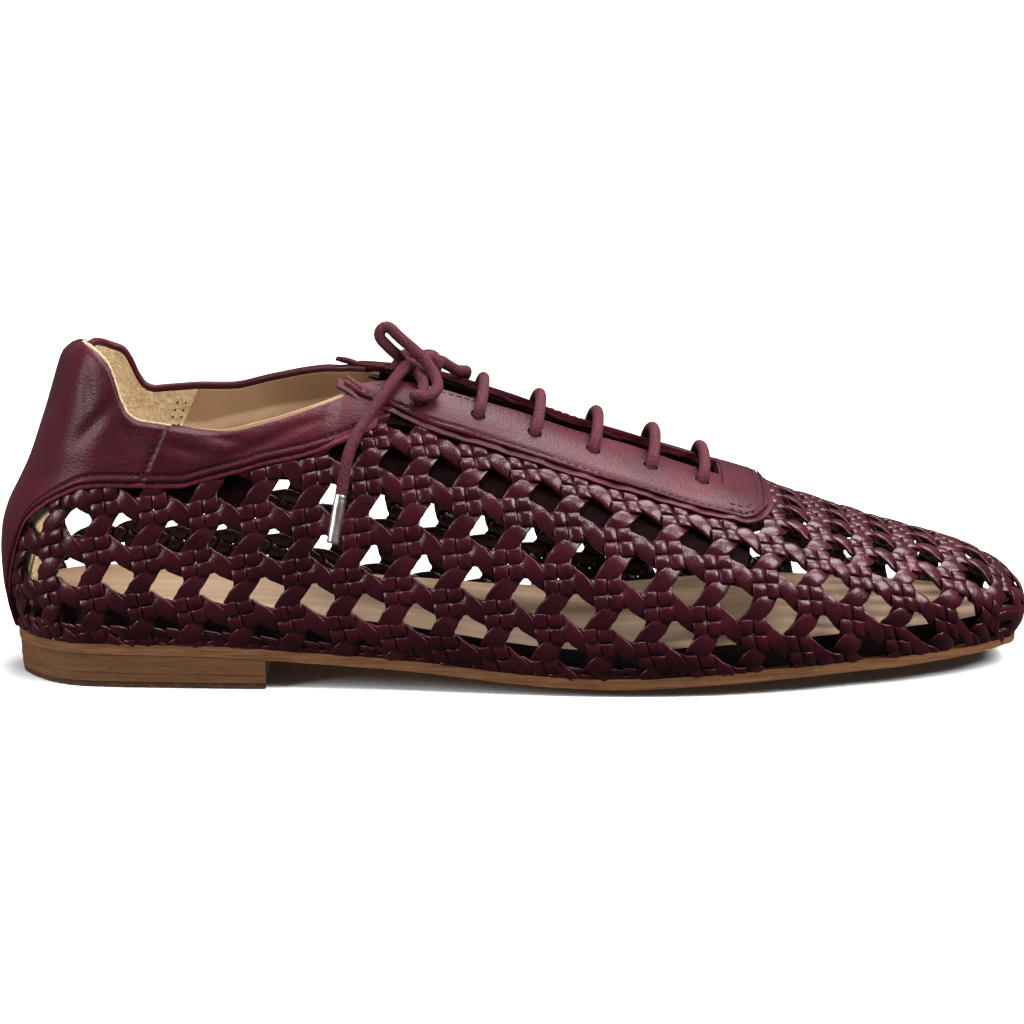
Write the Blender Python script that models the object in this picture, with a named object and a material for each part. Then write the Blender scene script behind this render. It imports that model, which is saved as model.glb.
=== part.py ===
"""Right shoe of a woven leather lace-up flat.

Lengths are worked out in millimetres from the back of the heel (X), the middle of the foot (Y,
minus on the outer side) and the floor (Z). They are moved and turned into metres as each piece is made.
"""
import bpy
import bmesh
import numpy as np
from math import cos, pi, sin
from mathutils import Vector

for old in list(bpy.data.objects):
    bpy.data.objects.remove(old, do_unlink=True)

# Driving sizes, in millimetres
SHOE_MIDDLE = (132.55, 6.1)     # middle of the shoe's box, which becomes the origin
WALL = 1.6                      # woven wall under its raised strips
CLUSTER_RISE = 0.7              # where four strips cross
LINK_RISE = 0.45                # where two strips run between crossings
HOLE_RIM_RISE = 0.15
SEAT_GAP = 0.4                  # between the wall and a smooth leather piece
LEATHER = 1.2                   # smooth leather pieces
SOLE_EDGE = 2.6                 # visible thickness of the outsole
SOLE_LIP = 0.8                  # how far the outsole stands out of the upper
HEEL_FRONT_X = 70.0
TOP_PIECE = 1.3
FOOTBED = 7.5                   # cushioned insole, from the foot line up
PIECE_GAP = 0.3
LACE_RADIUS = 1.5
EYELET_RADIUS = 1.5
EYELET_FROM_RIDGE = 17.5
FLAT_SOLE = (140.0, 190.0)      # forefoot that touches the floor

# One row for each section of the last, heel to toe
SECTION_COLUMNS = ("side_x", "half_width", "centre_y", "crown_x",
                   "crown_z", "rise", "roundness", "back_share")
SECTIONS = [
    (0, 0, 0, 0, 112, 13, 2.2, 1.0),
    (1.6, 9.3, 0, 3, 112, 13, 2.2, 0.94),
    (6.3, 17.5, 0, 9, 112, 13, 2.2, 0.77),
    (13.5, 23.6, 0, 18, 112, 13, 2.2, 0.5),
    (23, 27, 0, 32, 110, 13, 2.2, 0.2),
    (35, 28, -0.3, 48, 107, 13, 2.25, 0.05),
    (50, 28.3, -0.8, 64, 101, 13, 2.3, 0),
    (68, 28.6, -1.3, 81, 89, 13, 2.35, 0),
    (85, 29.3, -1.4, 96, 79.5, 13, 2.45, 0),
    (103, 31.2, -1.0, 113, 75.7, 12.5, 2.55, 0),
    (122, 34.4, 0.0, 131, 68.8, 12, 2.6, 0),
    (140, 38.2, 1.8, 148.5, 61.9, 11, 2.6, 0),
    (157, 41.4, 3.6, 165, 56.2, 10.5, 2.6, 0),
    (172, 43.2, 5.2, 179.5, 51.2, 10, 2.6, 0),
    (186, 43.6, 6.5, 193, 46.7, 9.5, 2.65, 0),
    (199, 42.2, 7.5, 205.5, 41.9, 9, 2.65, 0),
    (211, 39.6, 8.1, 217, 38.1, 8.5, 2.65, 0),
    (222, 36, 8.5, 226.5, 35.2, 8, 2.6, 0),
    (232, 32.8, 8.7, 235.5, 32.7, 7.5, 2.55, 0),
    (240.5, 29, 8.8, 243.5, 30.7, 7, 2.5, 0),
    (246.5, 25.6, 8.7, 250.5, 28.6, 6.5, 2.4, 0),
    (251, 22.4, 8.5, 256, 26.2, 6, 2.35, 0),
    (254.3, 19.4, 8.3, 260.2, 23.5, 5, 2.3, 0),
    (256.6, 16.8, 8.2, 263.2, 20.8, 4, 2.25, 0),
    (258, 14.8, 8.1, 265.2, 17.8, 3, 2.2, 0),
    (258.8, 13.6, 8.0, 266, 14.9, 2, 2.15, 0),
    (259.2, 12.9, 8.0, 265.4, 11.5, 1, 2.1, 0),
    (259.4, 12.4, 8.0, 263.2, 7.9, 0.05, 2, 0),
]
# Height of the line where the upper meets the sole: X, Z
FEATHER = [(0, 11.6), (54, 11.2), (80, 9.8), (107, 8.2), (132, 5.9), (145, 5.0), (158, 4.7), (170, 5.0),
           (182, 5.6), (194, 6.2), (206, 6.7), (219, 7.0), (233, 7.2), (247, 7.4), (263, 7.9)]
# Shape of the back of the heel: Z, X
HEEL_BACK = [(11, 5.4), (14, 4.6), (18, 3.2), (24, 1.6), (30, 1.2), (35, 1.5), (42, 3), (49, 5.8),
             (53, 7.4), (58, 9.2), (63, 10.9), (67.5, 12.5), (72, 14), (76.6, 15.6), (80.6, 17),
             (87, 20), (112, 30)]
# Lines drawn on the wall: U along the shoe from the back seam, V up the wall from the sole
COLLAR_TOP = [(0, 79.5), (12, 79.5), (22, 78.5), (28, 77), (33, 75), (36, 73), (38.2, 70),
              (41.4, 64), (44, 60.5), (47, 58.9), (51, 58.4), (59, 57.3), (67, 56.8), (77, 59.5),
              (86, 63.2), (94, 67.4), (96.5, 69.2), (102, 71.8), (108, 73.3)]
PIPING = [(0, 0), (9.2, 0), (10.6, 8), (13, 15), (16.2, 23), (18.8, 31), (23, 35.6), (28.7, 39.3),
          (34.5, 41.7), (40, 42.4), (52, 42.6), (60, 42.8), (64.7, 44.2), (69, 45.5), (74.3, 47.2),
          (78.7, 48.9), (88.6, 51.9), (97.8, 55.9), (110.8, 63.5), (125, 72)]
# Outer edge of the eyestay: U, distance from the ridge
EYESTAY_EDGE = [(96.5, 18.2), (109, 21.1), (123, 25.2), (139, 25.8), (155, 27.1), (166, 28.4),
                (179, 29.5), (192.5, 30.7), (203, 30.6), (206.5, 29), (209.5, 25), (211.8, 18.5)]
# How much higher the collar is on the inner side: U, height
INNER_COLLAR = [(0, 0), (46, 0), (60, 2.1), (82, 3), (90, 2.2), (95, 0.6), (100, 0), (108, 0)]
# Half of the throat's gap: U, half gap
THROAT = [(100, 11.2), (108, 11.7), (118, 12), (128, 11.6), (140, 10.4), (155, 9), (172, 7.6),
          (186, 8.2), (200, 9)]
THROAT_FRONT_U = 196.5
EYELET_U = (116.8, 131.6, 146.6, 162.2, 177.6, 191.6)
# Weave rows: height of the middle row up the wall, and the other rows' distances from it
MIDDLE_ROW = [(0, 38.6), (30, 38.4), (43, 37.6), (55, 35.8), (67.4, 35.1), (80.5, 34.6), (93.2, 34.4),
              (106, 32.7), (119, 31.5), (132.4, 29.8), (145.5, 28.6), (158.5, 26.2), (172, 22.9),
              (185.7, 19.5), (198.3, 15.3), (211, 11.0)]
ROW_STEP = [(-3, -38), (-2, -25.3), (-1, -12.8), (0, 0), (1, 13.6), (2, 25), (3, 36.3), (4, 47.8),
            (5, 59.2)]
FIRST_COLUMN, LAST_COLUMN = -6, 15
RIDGE_ROW = 5
RING_CORNER, RING_LINK = 0.37, 0.47     # hole rim, as a share of the way to a crossing or a link
HOLE_EDGE = 2.4                         # solid band left beside the sole and the smooth pieces
SNAP = 1.5                              # weave lines this near an edge of the wall move onto it

# Lace routes: X, Y, Z
KNOT_LEADS = ([(110.6, 13.4, 77.3), (110, 9.4, 79), (109.4, 5.2, 80.6), (108.9, 2, 81.3)],
              [(109, -11, 79.6), (109.6, -13.8, 78.4), (110.4, -16.2, 77.2)])
KNOT_CENTRE = (111.4, 80)     # X and Z of the wrap's middle
KNOT_TURN = 2.3                 # radius of the wrap
KNOT_PITCH = 3.9
KNOT_START_Y = -0.8
NEAR_LOOP = [(108.3, -21.2, 75), (110.8, -21.2, 74.5), (112.9, -20.2, 75.1), (114.1, -17.8, 76.6),
             (113.3, -15.2, 78.9), (111.5, -13.6, 81.6), (108.8, -12.8, 84.5), (105.6, -12.2, 87.2),
             (103.7, -12, 88.9), (102.2, -11.8, 90.4), (100.9, -11.6, 90.9), (99.7, -11.6, 90.2),
             (99.2, -11.6, 88.9), (99.7, -11.6, 87.6), (100.6, -11.5, 86.6), (102, -11.2, 85.1),
             (103.8, -10.3, 83.3), (105.9, -8.4, 81.1)]
FAR_LOOP = [(114.4, 0.8, 79.9), (116.5, 4.4, 78), (118.6, 7.4, 76.2), (120.4, 10.6, 75.5), (121, 14.4, 74.6),
            (120.4, 18.4, 72.6), (118, 21.8, 70.2), (114.8, 23, 69.3), (111.8, 21.6, 71.2), (110.4, 18.4, 74.2)]
NEAR_END = [(106, -12, 80.8), (103.5, -16.8, 78.8), (101.2, -20.4, 76.1), (98.6, -23.4, 72.9),
            (96.4, -25.8, 70), (94.2, -28.4, 66.8), (92.3, -30.8, 63), (91.2, -32.4, 58.8), (90, -34, 52)]
FAR_END = [(105.6, 5, 80.6), (104.6, 11.4, 79.4), (102.8, 17.8, 76), (100.4, 23.2, 70.8), (98, 27, 64.2),
           (96, 29.6, 57.8), (94.6, 31, 52)]
BAR_ARCH = (2.8, 4.3, 5.1, 5.4, 4.2)    # height of each bar over the ridge line
AGLET_LENGTH = 12.5
AGLET_RADIUS = 1.65


def smooth(table, at):
    """Read a two-column table with a curve that never overshoots its rows."""
    xs, ys = np.array(table, float).T
    at = np.clip(np.asarray(at, float), xs[0], xs[-1])
    step = np.diff(xs)
    slope = np.diff(ys) / step
    lean = np.zeros_like(ys)
    lean[0], lean[-1] = slope[0], slope[-1]
    for k in range(1, len(xs) - 1):
        if slope[k - 1] * slope[k] > 0:
            before = 2 * step[k] + step[k - 1]
            after = step[k] + 2 * step[k - 1]
            lean[k] = (before + after) / (before / slope[k - 1] + after / slope[k])
    k = np.clip(np.searchsorted(xs, at) - 1, 0, len(xs) - 2)
    t = (at - xs[k]) / step[k]
    start = (2 * t**3 - 3 * t**2 + 1) * ys[k] + (t**3 - 2 * t**2 + t) * step[k] * lean[k]
    return start + (3 * t**2 - 2 * t**3) * ys[k + 1] + (t**3 - t**2) * step[k] * lean[k + 1]


# The last: a grid of points on each side, from the sole up to the ridge
STATIONS, STEPS = 241, 81
OUTER, INNER = 0, 1


def last_grid():
    rows = np.array(SECTIONS, float)
    along = np.hypot(np.diff(rows[:, 0]), np.diff(rows[:, 1]))
    over = np.hypot(np.diff(rows[:, 3]), np.diff(rows[:, 4]))
    place = np.r_[0, np.cumsum(np.maximum(along, (along + over) / 2))]
    at = np.linspace(0, place[-1], STATIONS)
    column = {name: smooth(np.c_[place, rows[:, k]], at) for k, name in enumerate(SECTION_COLUMNS)}
    points = np.zeros((2, STATIONS, STEPS, 3))
    reach = np.zeros((2, STATIONS))
    low = np.linspace(0, 1, 25)[:-1]
    turn = np.linspace(0, pi / 2, 200)
    for i in range(STATIONS):
        s = {name: values[i] for name, values in column.items()}
        foot = float(smooth(FEATHER, s["side_x"]))
        widest = foot + s["rise"]
        up = np.sin(turn) ** (2 / s["roundness"])
        across = np.cos(turn) ** (2 / s["roundness"])
        tuck = 2.2 * min(1, s["rise"] / 8) * min(1, s["half_width"] / 20)
        z = np.r_[foot + low * s["rise"], widest + up * (s["crown_z"] - widest)]
        y = np.r_[np.maximum(s["half_width"] - tuck * (1 - low) ** 2, 0), s["half_width"] * across]
        x = s["side_x"] + (s["crown_x"] - s["side_x"]) * np.r_[0 * low, up]
        x = x + s["back_share"] * smooth(HEEL_BACK, z)
        for side, sign in ((OUTER, -1), (INNER, 1)):
            line = np.c_[x, s["centre_y"] + sign * y, z]
            walked = np.r_[0, np.cumsum(np.linalg.norm(np.diff(line, axis=0), axis=1))]
            even = np.linspace(0, walked[-1], STEPS)
            reach[side, i] = walked[-1]
            points[side, i] = np.stack([np.interp(even, walked, line[:, k]) for k in range(3)], -1)
    return points, reach


def last_normals(points):
    normals = np.cross(np.gradient(points, axis=1), np.gradient(points, axis=2))
    normals[INNER] *= -1
    normals[:, 0, :, 1] = 0
    ridge = normals[OUTER, :, -1] / np.linalg.norm(normals[OUTER, :, -1], axis=-1, keepdims=True)
    ridge = ridge + normals[INNER, :, -1] / np.linalg.norm(normals[INNER, :, -1], axis=-1, keepdims=True)
    normals[:, :, -1] = ridge
    return normals / np.linalg.norm(normals, axis=-1, keepdims=True)


POINTS, REACH = last_grid()
NORMALS = last_normals(POINTS)


def length_along():
    """U of each station, walked 25 mm up the outer wall."""
    level = np.minimum(25 / REACH[OUTER], 0.5) * (STEPS - 1)
    walk = np.array([[np.interp(level[i], np.arange(STEPS), POINTS[OUTER, i, :, k]) for k in range(3)]
                     for i in range(STATIONS)])
    return np.r_[0, np.cumsum(np.linalg.norm(np.diff(walk, axis=0), axis=1))]


STATION_U = length_along()
TIP_U = STATION_U[-1]


def reach_at(side, u):
    return float(np.interp(u, STATION_U, REACH[side]))


def on_last(side, u, v, lift):
    """A point of the last, moved out along its normal."""
    i = np.interp(u, STATION_U, np.arange(STATIONS))
    j = np.clip(v / reach_at(side, u), 0, 1) * (STEPS - 1)
    i0, j0 = min(int(i), STATIONS - 2), min(int(j), STEPS - 2)
    a, b = i - i0, j - j0
    weights = ((1 - a) * (1 - b), (1 - a) * b, a * (1 - b), a * b)
    corners = ((i0, j0), (i0, j0 + 1), (i0 + 1, j0), (i0 + 1, j0 + 1))
    point = sum(w * POINTS[side][c] for w, c in zip(weights, corners))
    normal = sum(w * NORMALS[side][c] for w, c in zip(weights, corners))
    return point + lift * normal / np.linalg.norm(normal)


def throat_v(side, u):
    """V of the throat's edge on one side."""
    i = int(round(float(np.interp(u, STATION_U, np.arange(STATIONS)))))
    line = POINTS[side, i]
    off_middle = np.abs(line[:, 1] - line[-1, 1])
    half = STEPS // 2
    shares = np.linspace(0.5, 1, STEPS - half)
    share = np.interp(float(smooth(THROAT, u)), off_middle[half:][::-1], shares[::-1])
    return float(share) * reach_at(side, u)


def top_v(side, u):
    """V of the upper's top edge."""
    if u <= COLLAR_TOP[-1][0]:
        extra = float(smooth(INNER_COLLAR, u)) if side == INNER else 0
        return float(smooth(COLLAR_TOP, u)) + extra
    if u < THROAT_FRONT_U:
        return throat_v(side, u)
    return reach_at(side, u)


def clear_of_cover(side, u, v):
    """Distance from the smooth pieces that lie over the weave; minus under them."""
    edge = float(smooth(PIPING, u))
    if u < EYESTAY_EDGE[0][0]:
        return edge - v
    below_eyestay = reach_at(side, u) - float(smooth(EYESTAY_EDGE, min(u, 203))) - v
    if u > 203:
        return max(below_eyestay, u - EYESTAY_EDGE[-1][0])
    return min(edge - v, below_eyestay)


# Making objects
def finish(name, colour, roughness, metallic=0.0):
    material = bpy.data.materials.new(name)
    material.use_nodes = True
    shader = material.node_tree.nodes["Principled BSDF"]
    shader.inputs["Base Color"].default_value = (*colour, 1)
    shader.inputs["Roughness"].default_value = roughness
    shader.inputs["Metallic"].default_value = metallic
    return material


BURGUNDY = (0.10, 0.018, 0.03)
SMOOTH_BURGUNDY = (0.13, 0.03, 0.045)
LACE_COLOUR = (0.16, 0.035, 0.06)
TAN = (0.52, 0.33, 0.19)
SOLE_BROWN = (0.2, 0.1, 0.05)
DARK_BROWN = (0.04, 0.025, 0.02)
SILVER = (0.75, 0.74, 0.73)


def to_row(points):
    return (np.asarray(points, float) - (*SHOE_MIDDLE, 0)) * 0.001


def add_mesh(name, points, faces, material):
    mesh = bpy.data.meshes.new(name)
    mesh.from_pydata(to_row(points).tolist(), [], faces)
    clean = bmesh.new()
    clean.from_mesh(mesh)
    bmesh.ops.triangulate(clean, faces=clean.faces)
    bmesh.ops.recalc_face_normals(clean, faces=clean.faces)
    clean.to_mesh(mesh)
    clean.free()
    mesh.materials.append(material)
    piece = bpy.data.objects.new(name, mesh)
    bpy.context.collection.objects.link(piece)
    return piece


def add_shell(name, outside, inside, faces, material):
    """Two skins of the same faces, closed along every free edge."""
    count = len(outside)
    faces = [f for f in (tuple(dict.fromkeys(face)) for face in faces) if len(f) > 2]
    edges = {(f[k], f[(k + 1) % len(f)]) for f in faces for k in range(len(f))}
    rims = [(b, a, a + count, b + count) for a, b in edges if (b, a) not in edges]
    backs = [tuple(k + count for k in reversed(f)) for f in faces]
    return add_mesh(name, np.concatenate([outside, inside]), faces + backs + sorted(rims), material)


def grid_faces(rows, columns, wanted=lambda i, j: True):
    return [(i * columns + j, (i + 1) * columns + j, (i + 1) * columns + j + 1, i * columns + j + 1)
            for i in range(rows - 1) for j in range(columns - 1) if wanted(i, j)]


# Upper: a wall of square weave cells, each with an eight-sided hole where the photo shows one
SEAM, TIP = 2 * FIRST_COLUMN - 2, 2 * LAST_COLUMN + 1
THROAT_COLUMN = 16


def column_u(p):
    """U of a half column; the even ones run through the crossings."""
    if p == SEAM:
        return 0.0
    if p == SEAM + 1:
        return column_u(p + 1) / 2
    if p == TIP:
        return float(TIP_U)
    return 93.2 + 13.05 * p / 2 + 0.02 * (p / 2) ** 2


def middle_row(side, u):
    last_u = MIDDLE_ROW[-1][0]
    if u >= last_u:
        return reach_at(side, u) - ROW_STEP[-1][1]
    drift = reach_at(side, last_u) - ROW_STEP[-1][1] - MIDDLE_ROW[-1][1]
    return float(smooth(MIDDLE_ROW, u)) + drift * min(1, u / last_u) ** 2


class Weave:
    """Corners, holes and faces of the woven wall."""

    def __init__(self):
        self.keys = {}
        self.outside = []
        self.inside = []
        self.faces = []
        self.holes = 0

    def place(self, side, p, q):
        u = column_u(p)
        row = q / 2 if side == OUTER else 2 * RIDGE_ROW - q / 2
        v = middle_row(side, u) + float(np.interp(row, *np.array(ROW_STEP, float).T))
        top = top_v(side, u)
        if p == THROAT_COLUMN and abs(q - 2 * RIDGE_ROW) == 1:
            return u, throat_v(side, u), True
        if v < SNAP:
            return u, 0.0, True
        if v > top - SNAP:
            return u, top, True
        return u, v, False

    def add(self, key, side, u, v, rise):
        if key not in self.keys:
            self.keys[key] = len(self.outside)
            share = min(1, max(0, clear_of_cover(side, u, v) / 7))
            self.outside.append(on_last(side, u, v, rise * share))
            self.inside.append(on_last(side, u, v, -WALL))
        return self.keys[key]

    def node(self, side, p, q):
        u, v, caught = self.place(side, p, q)
        key = (side, p, round(v, 2))
        if p == SEAM:
            key = ("seam", round(v, 2))
        elif v >= reach_at(side, u) - 0.01:
            key = ("ridge", p)
        rise = CLUSTER_RISE if p % 2 == 0 and q % 2 == 0 else LINK_RISE
        return self.add(key, side, u, v, 0 if caught or p == TIP else rise)

    def cell(self, side, p, q):
        around = [(p - 1, q - 1), (p, q - 1), (p + 1, q - 1), (p + 1, q),
                  (p + 1, q + 1), (p, q + 1), (p - 1, q + 1), (p - 1, q)]
        places = [self.place(side, *spot) for spot in around]
        corners = [self.node(side, *spot) for spot in around]
        middle = np.mean([(u, v) for u, v, _ in places], axis=0)
        ring = [middle + (np.array((u, v)) - middle) * (RING_LINK if k % 2 else RING_CORNER)
                for k, (u, v, _) in enumerate(places)]
        whole = not any(caught for k, (_, _, caught) in enumerate(places) if k % 2 == 0)
        above_sole = all(v > HOLE_EDGE for _, v in ring)
        uncovered = all(clear_of_cover(side, u, v) > HOLE_EDGE / 2 for u, v in ring)
        if whole and above_sole and uncovered and p > SEAM + 2:
            self.holes += 1
            rim = [self.add((side, p, q, k), side, u, v, HOLE_RIM_RISE) for k, (u, v) in enumerate(ring)]
            for k in range(8):
                n = (k + 1) % 8
                self.faces.append((corners[k], corners[n], rim[n], rim[k]))
            return
        centre = self.node(side, p, q)
        for k in (1, 3, 5, 7):
            self.faces.append((corners[k - 1], corners[k], centre, corners[k - 2]))

    def build(self):
        for p in range(SEAM + 1, TIP, 2):
            for q in range(-5, 4 * RIDGE_ROW + 6, 2):
                self.cell(OUTER if q < 2 * RIDGE_ROW else INNER, p, q)
        for q in range(-6, 4 * RIDGE_ROW + 6):
            side = OUTER if q < 2 * RIDGE_ROW else INNER
            self.faces.append([self.node(side, *spot) for spot in
                               ((TIP - 1, q), (TIP, q), (TIP, q + 1), (TIP - 1, q + 1))])
        return add_shell("upper", self.outside, self.inside, self.faces, finish("upper", BURGUNDY, 0.4))


weave = Weave()
weave.build()


# Smooth leather pieces, laid on the wall
def add_patch(name, chart, rows, columns, wanted=lambda i, j: True):
    outside = [on_last(side, u, v, SEAT_GAP + LEATHER) for side, u, v in chart]
    inside = [on_last(side, u, v, SEAT_GAP) for side, u, v in chart]
    leather = finish(name, SMOOTH_BURGUNDY, 0.35)
    return add_shell(name, outside, inside, grid_faces(rows, columns, wanted), leather)


def seam_u(v):
    """Seam between the counter and a collar band, slanted above the band's foot."""
    return 51.4 + 0.26 * max(0, v - 43)


COUNTER_SHARES = (0, 0.1, 0.18, 0.22, 0.27, 0.34, 0.43, 0.54, 0.64, 0.71, 0.78, 0.88, 1)
COUNTER_ROWS = 9
counter_chart = []
for share in [-s for s in reversed(COUNTER_SHARES[1:])] + list(COUNTER_SHARES):
    side = OUTER if share < 0 else INNER
    u_low = abs(share) * seam_u(0)
    foot = max(float(smooth(PIPING, u_low)), 0.3)
    for t in np.linspace(0, 1, COUNTER_ROWS):
        v = foot + t * (top_v(side, u_low) - foot)
        counter_chart.append((side, abs(share) * (seam_u(v) - 0.2), v))
add_patch("heel_counter", counter_chart, 2 * len(COUNTER_SHARES) - 1, COUNTER_ROWS)

COLLAR_SHARES = np.linspace(0, 1, 10)
for side, name in ((OUTER, "collar_lateral"), (INNER, "collar_medial")):
    chart = []
    for share in COLLAR_SHARES:
        u_mid = 51.6 + share * 55.4
        low = float(smooth(PIPING, u_mid))
        high = top_v(side, min(u_mid, 96.5))
        if u_mid > 95.0:
            high = reach_at(side, u_mid) - float(smooth(EYESTAY_EDGE, u_mid)) - 0.6
        for t in np.linspace(0, 1, 4):
            v = low + t * (high - low)
            chart.append((side, u_mid + (1 - share) * (seam_u(v) + 0.2 - 51.6), v))
    add_patch(name, chart, len(COLLAR_SHARES), 4)

EYESTAY_U = (97.5, 102, 107.5, 115, 125, 135, 145, 155, 165, 175, 186, 196.5, 202, 206.5, 209.5, 211.8)
FRONT_FROM = EYESTAY_U.index(196.5)
LEG_STEPS = 3
eyestay_chart = []
for u in EYESTAY_U:
    for side in (OUTER, INNER):
        edge = reach_at(side, u) - float(smooth(EYESTAY_EDGE, u))
        inner_edge = top_v(side, u)
        leg = [(side, u, edge + t * (inner_edge - edge)) for t in np.linspace(0, 1, LEG_STEPS + 1)]
        if side == OUTER:
            eyestay_chart += leg + [(OUTER, u, reach_at(OUTER, u))]
        else:
            eyestay_chart += leg[::-1]
across = 2 * LEG_STEPS + 3
eyestay = add_patch("eyestay", eyestay_chart, len(EYESTAY_U), across,
                    lambda i, j: i >= FRONT_FROM or j < LEG_STEPS or j > LEG_STEPS + 1)

# The strip of points over the open throat is not part of the eyestay
loose = bmesh.new()
loose.from_mesh(eyestay.data)
bmesh.ops.delete(loose, geom=[v for v in loose.verts if not v.link_faces], context="VERTS")
loose.to_mesh(eyestay.data)
loose.free()

punches = bmesh.new()
for side in (OUTER, INNER):
    for u in EYELET_U:
        v = reach_at(side, u) - EYELET_FROM_RIDGE
        low, high = (Vector(to_row(on_last(side, u, v, lift))) for lift in (-1.0, 4.0))
        turn = (high - low).to_track_quat("Z", "Y").to_matrix().to_4x4()
        turn.translation = (low + high) / 2
        bmesh.ops.create_cone(punches, cap_ends=True, segments=6, radius1=EYELET_RADIUS * 0.001,
                              radius2=EYELET_RADIUS * 0.001, depth=0.005, matrix=turn)
punch_mesh = bpy.data.meshes.new("eyelet_punches")
punches.to_mesh(punch_mesh)
punches.free()
punch = bpy.data.objects.new("eyelet_punches", punch_mesh)
bpy.context.collection.objects.link(punch)
punch.hide_render = True
punch.display_type = "WIRE"
cut = eyestay.modifiers.new("eyelets", "BOOLEAN")
cut.operation = "DIFFERENCE"
cut.solver = "EXACT"
cut.object = punch


# Sole pieces, from the upper's own foot line
def half_outline(side, offset):
    """The foot line of one side from the heel to the tip, moved out, with its heights."""
    line = np.concatenate([POINTS[side, :, 0], POINTS[side, -1, 1:]])
    along = np.gradient(line[:, :2], axis=0)
    sign = -1 if side == OUTER else 1
    along[0] = (0, sign)
    along[-1] = (0, -sign)
    along /= np.linalg.norm(along, axis=1, keepdims=True)
    out = np.c_[-along[:, 1], along[:, 0]] * sign
    return np.c_[line[:, :2] + offset * out, line[:, 2]]


def add_slab(name, offset, shares, across, top, bottom, material, x_end=None):
    """A plate with the foot's outline; top and bottom give heights from X, share across and foot height."""
    sides = [half_outline(OUTER, offset), half_outline(INNER, offset)]
    walked = np.r_[0, np.cumsum(np.linalg.norm(np.diff(sides[OUTER][:, :2], axis=0), axis=1))]
    end = walked[-1] if x_end is None else float(np.interp(x_end, sides[OUTER][:150, 0], walked[:150]))
    high, low = [], []
    for share in shares:
        outer, inner = (np.array([np.interp(share * end, walked, s[:, k]) for k in range(3)])
                        for s in sides)
        for t in across:
            x, y, z = outer + (t + 1) / 2 * (inner - outer)
            high.append((x, y, top(x, t, z)))
            low.append((x, y, bottom(x, t, z)))
    faces = grid_faces(len(shares), len(across))
    merged = {}
    index = [merged.setdefault(tuple(np.round(point, 4)), k) for k, point in enumerate(high)]
    used = sorted(set(index))
    number = {k: n for n, k in enumerate(used)}
    faces = [tuple(number[index[k]] for k in face) for face in faces]
    return add_shell(name, [high[k] for k in used], [low[k] for k in used], faces, material)


def sole_bottom(x, t, foot):
    """Even at the heel and waist; the forefoot is rounded down to a flat that touches the floor."""
    edge = foot - PIECE_GAP - SOLE_EDGE
    ramp = np.interp(x, [FLAT_SOLE[0] - 42, FLAT_SOLE[0], FLAT_SOLE[1], 255], [0, 1, 1, 0])
    drop = edge * ramp if FLAT_SOLE[0] <= x <= FLAT_SOLE[1] else min(edge, 2.2) * ramp
    return edge - drop * min(1, max(0, (1 - abs(t)) / 0.3))


SOLE_SHARES = np.r_[0, 0.02, 0.05, 0.09, np.linspace(0.14, 0.82, 15), 0.86, 0.9, 0.935, 0.96, 0.98, 1]
SOLE_ACROSS = (-1, -0.7, 0, 0.7, 1)
add_slab("outsole", SOLE_LIP, SOLE_SHARES, SOLE_ACROSS, lambda x, t, foot: foot - PIECE_GAP, sole_bottom,
         finish("outsole", SOLE_BROWN, 0.5))
HEEL_SHARES = (0, 0.05, 0.12, 0.2, 0.3, 0.42, 0.6, 0.8, 1)
HEEL_ACROSS = (-1, 0, 1)
add_slab("heel", SOLE_LIP, HEEL_SHARES, HEEL_ACROSS,
         lambda x, t, foot: foot - 2 * PIECE_GAP - SOLE_EDGE, lambda x, t, foot: TOP_PIECE + PIECE_GAP,
         finish("heel", SOLE_BROWN, 0.5), HEEL_FRONT_X)
add_slab("heel_top_piece", SOLE_LIP - 0.3, HEEL_SHARES, HEEL_ACROSS,
         lambda x, t, foot: TOP_PIECE, lambda x, t, foot: 0.0,
         finish("heel_top_piece", DARK_BROWN, 0.6), HEEL_FRONT_X)
INSOLE_SHARES = np.r_[0, 0.03, 0.07, 0.12, np.linspace(0.18, 0.84, 12), 0.9, 0.94, 0.97, 1]
add_slab("insole", -WALL - 0.9, INSOLE_SHARES, (-1, 0, 1), lambda x, t, foot: foot + FOOTBED,
         lambda x, t, foot: foot, finish("insole", TAN, 0.5))


# Lace
def add_cord(name, route, radius, count, material, resolution=2):
    """A round cord along a smooth curve through the route points."""
    route = np.array(route, float)
    walked = np.r_[0, np.cumsum(np.linalg.norm(np.diff(route, axis=0), axis=1))]
    ends = np.concatenate([[2 * route[0] - route[1]], route, [2 * route[-1] - route[-2]]])
    points = []
    for at in np.linspace(0, walked[-1], count):
        k = min(int(np.searchsorted(walked, at, side="right")) - 1, len(route) - 2)
        t = (at - walked[k]) / (walked[k + 1] - walked[k])
        a, b, c, d = ends[k:k + 4]
        bend, twist = 2 * a - 5 * b + 4 * c - d, 3 * b - a - 3 * c + d
        points.append(0.5 * (2 * b + (c - a) * t + bend * t**2 + twist * t**3))
    curve = bpy.data.curves.new(name, "CURVE")
    curve.dimensions = "3D"
    curve.bevel_depth = radius * 0.001
    curve.bevel_resolution = resolution
    curve.use_fill_caps = True
    spline = curve.splines.new("POLY")
    spline.points.add(count - 1)
    for point, place in zip(spline.points, to_row(points)):
        point.co = (*place, 1)
    curve.materials.append(material)
    cord = bpy.data.objects.new(name, curve)
    bpy.context.collection.objects.link(cord)
    return cord


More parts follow.
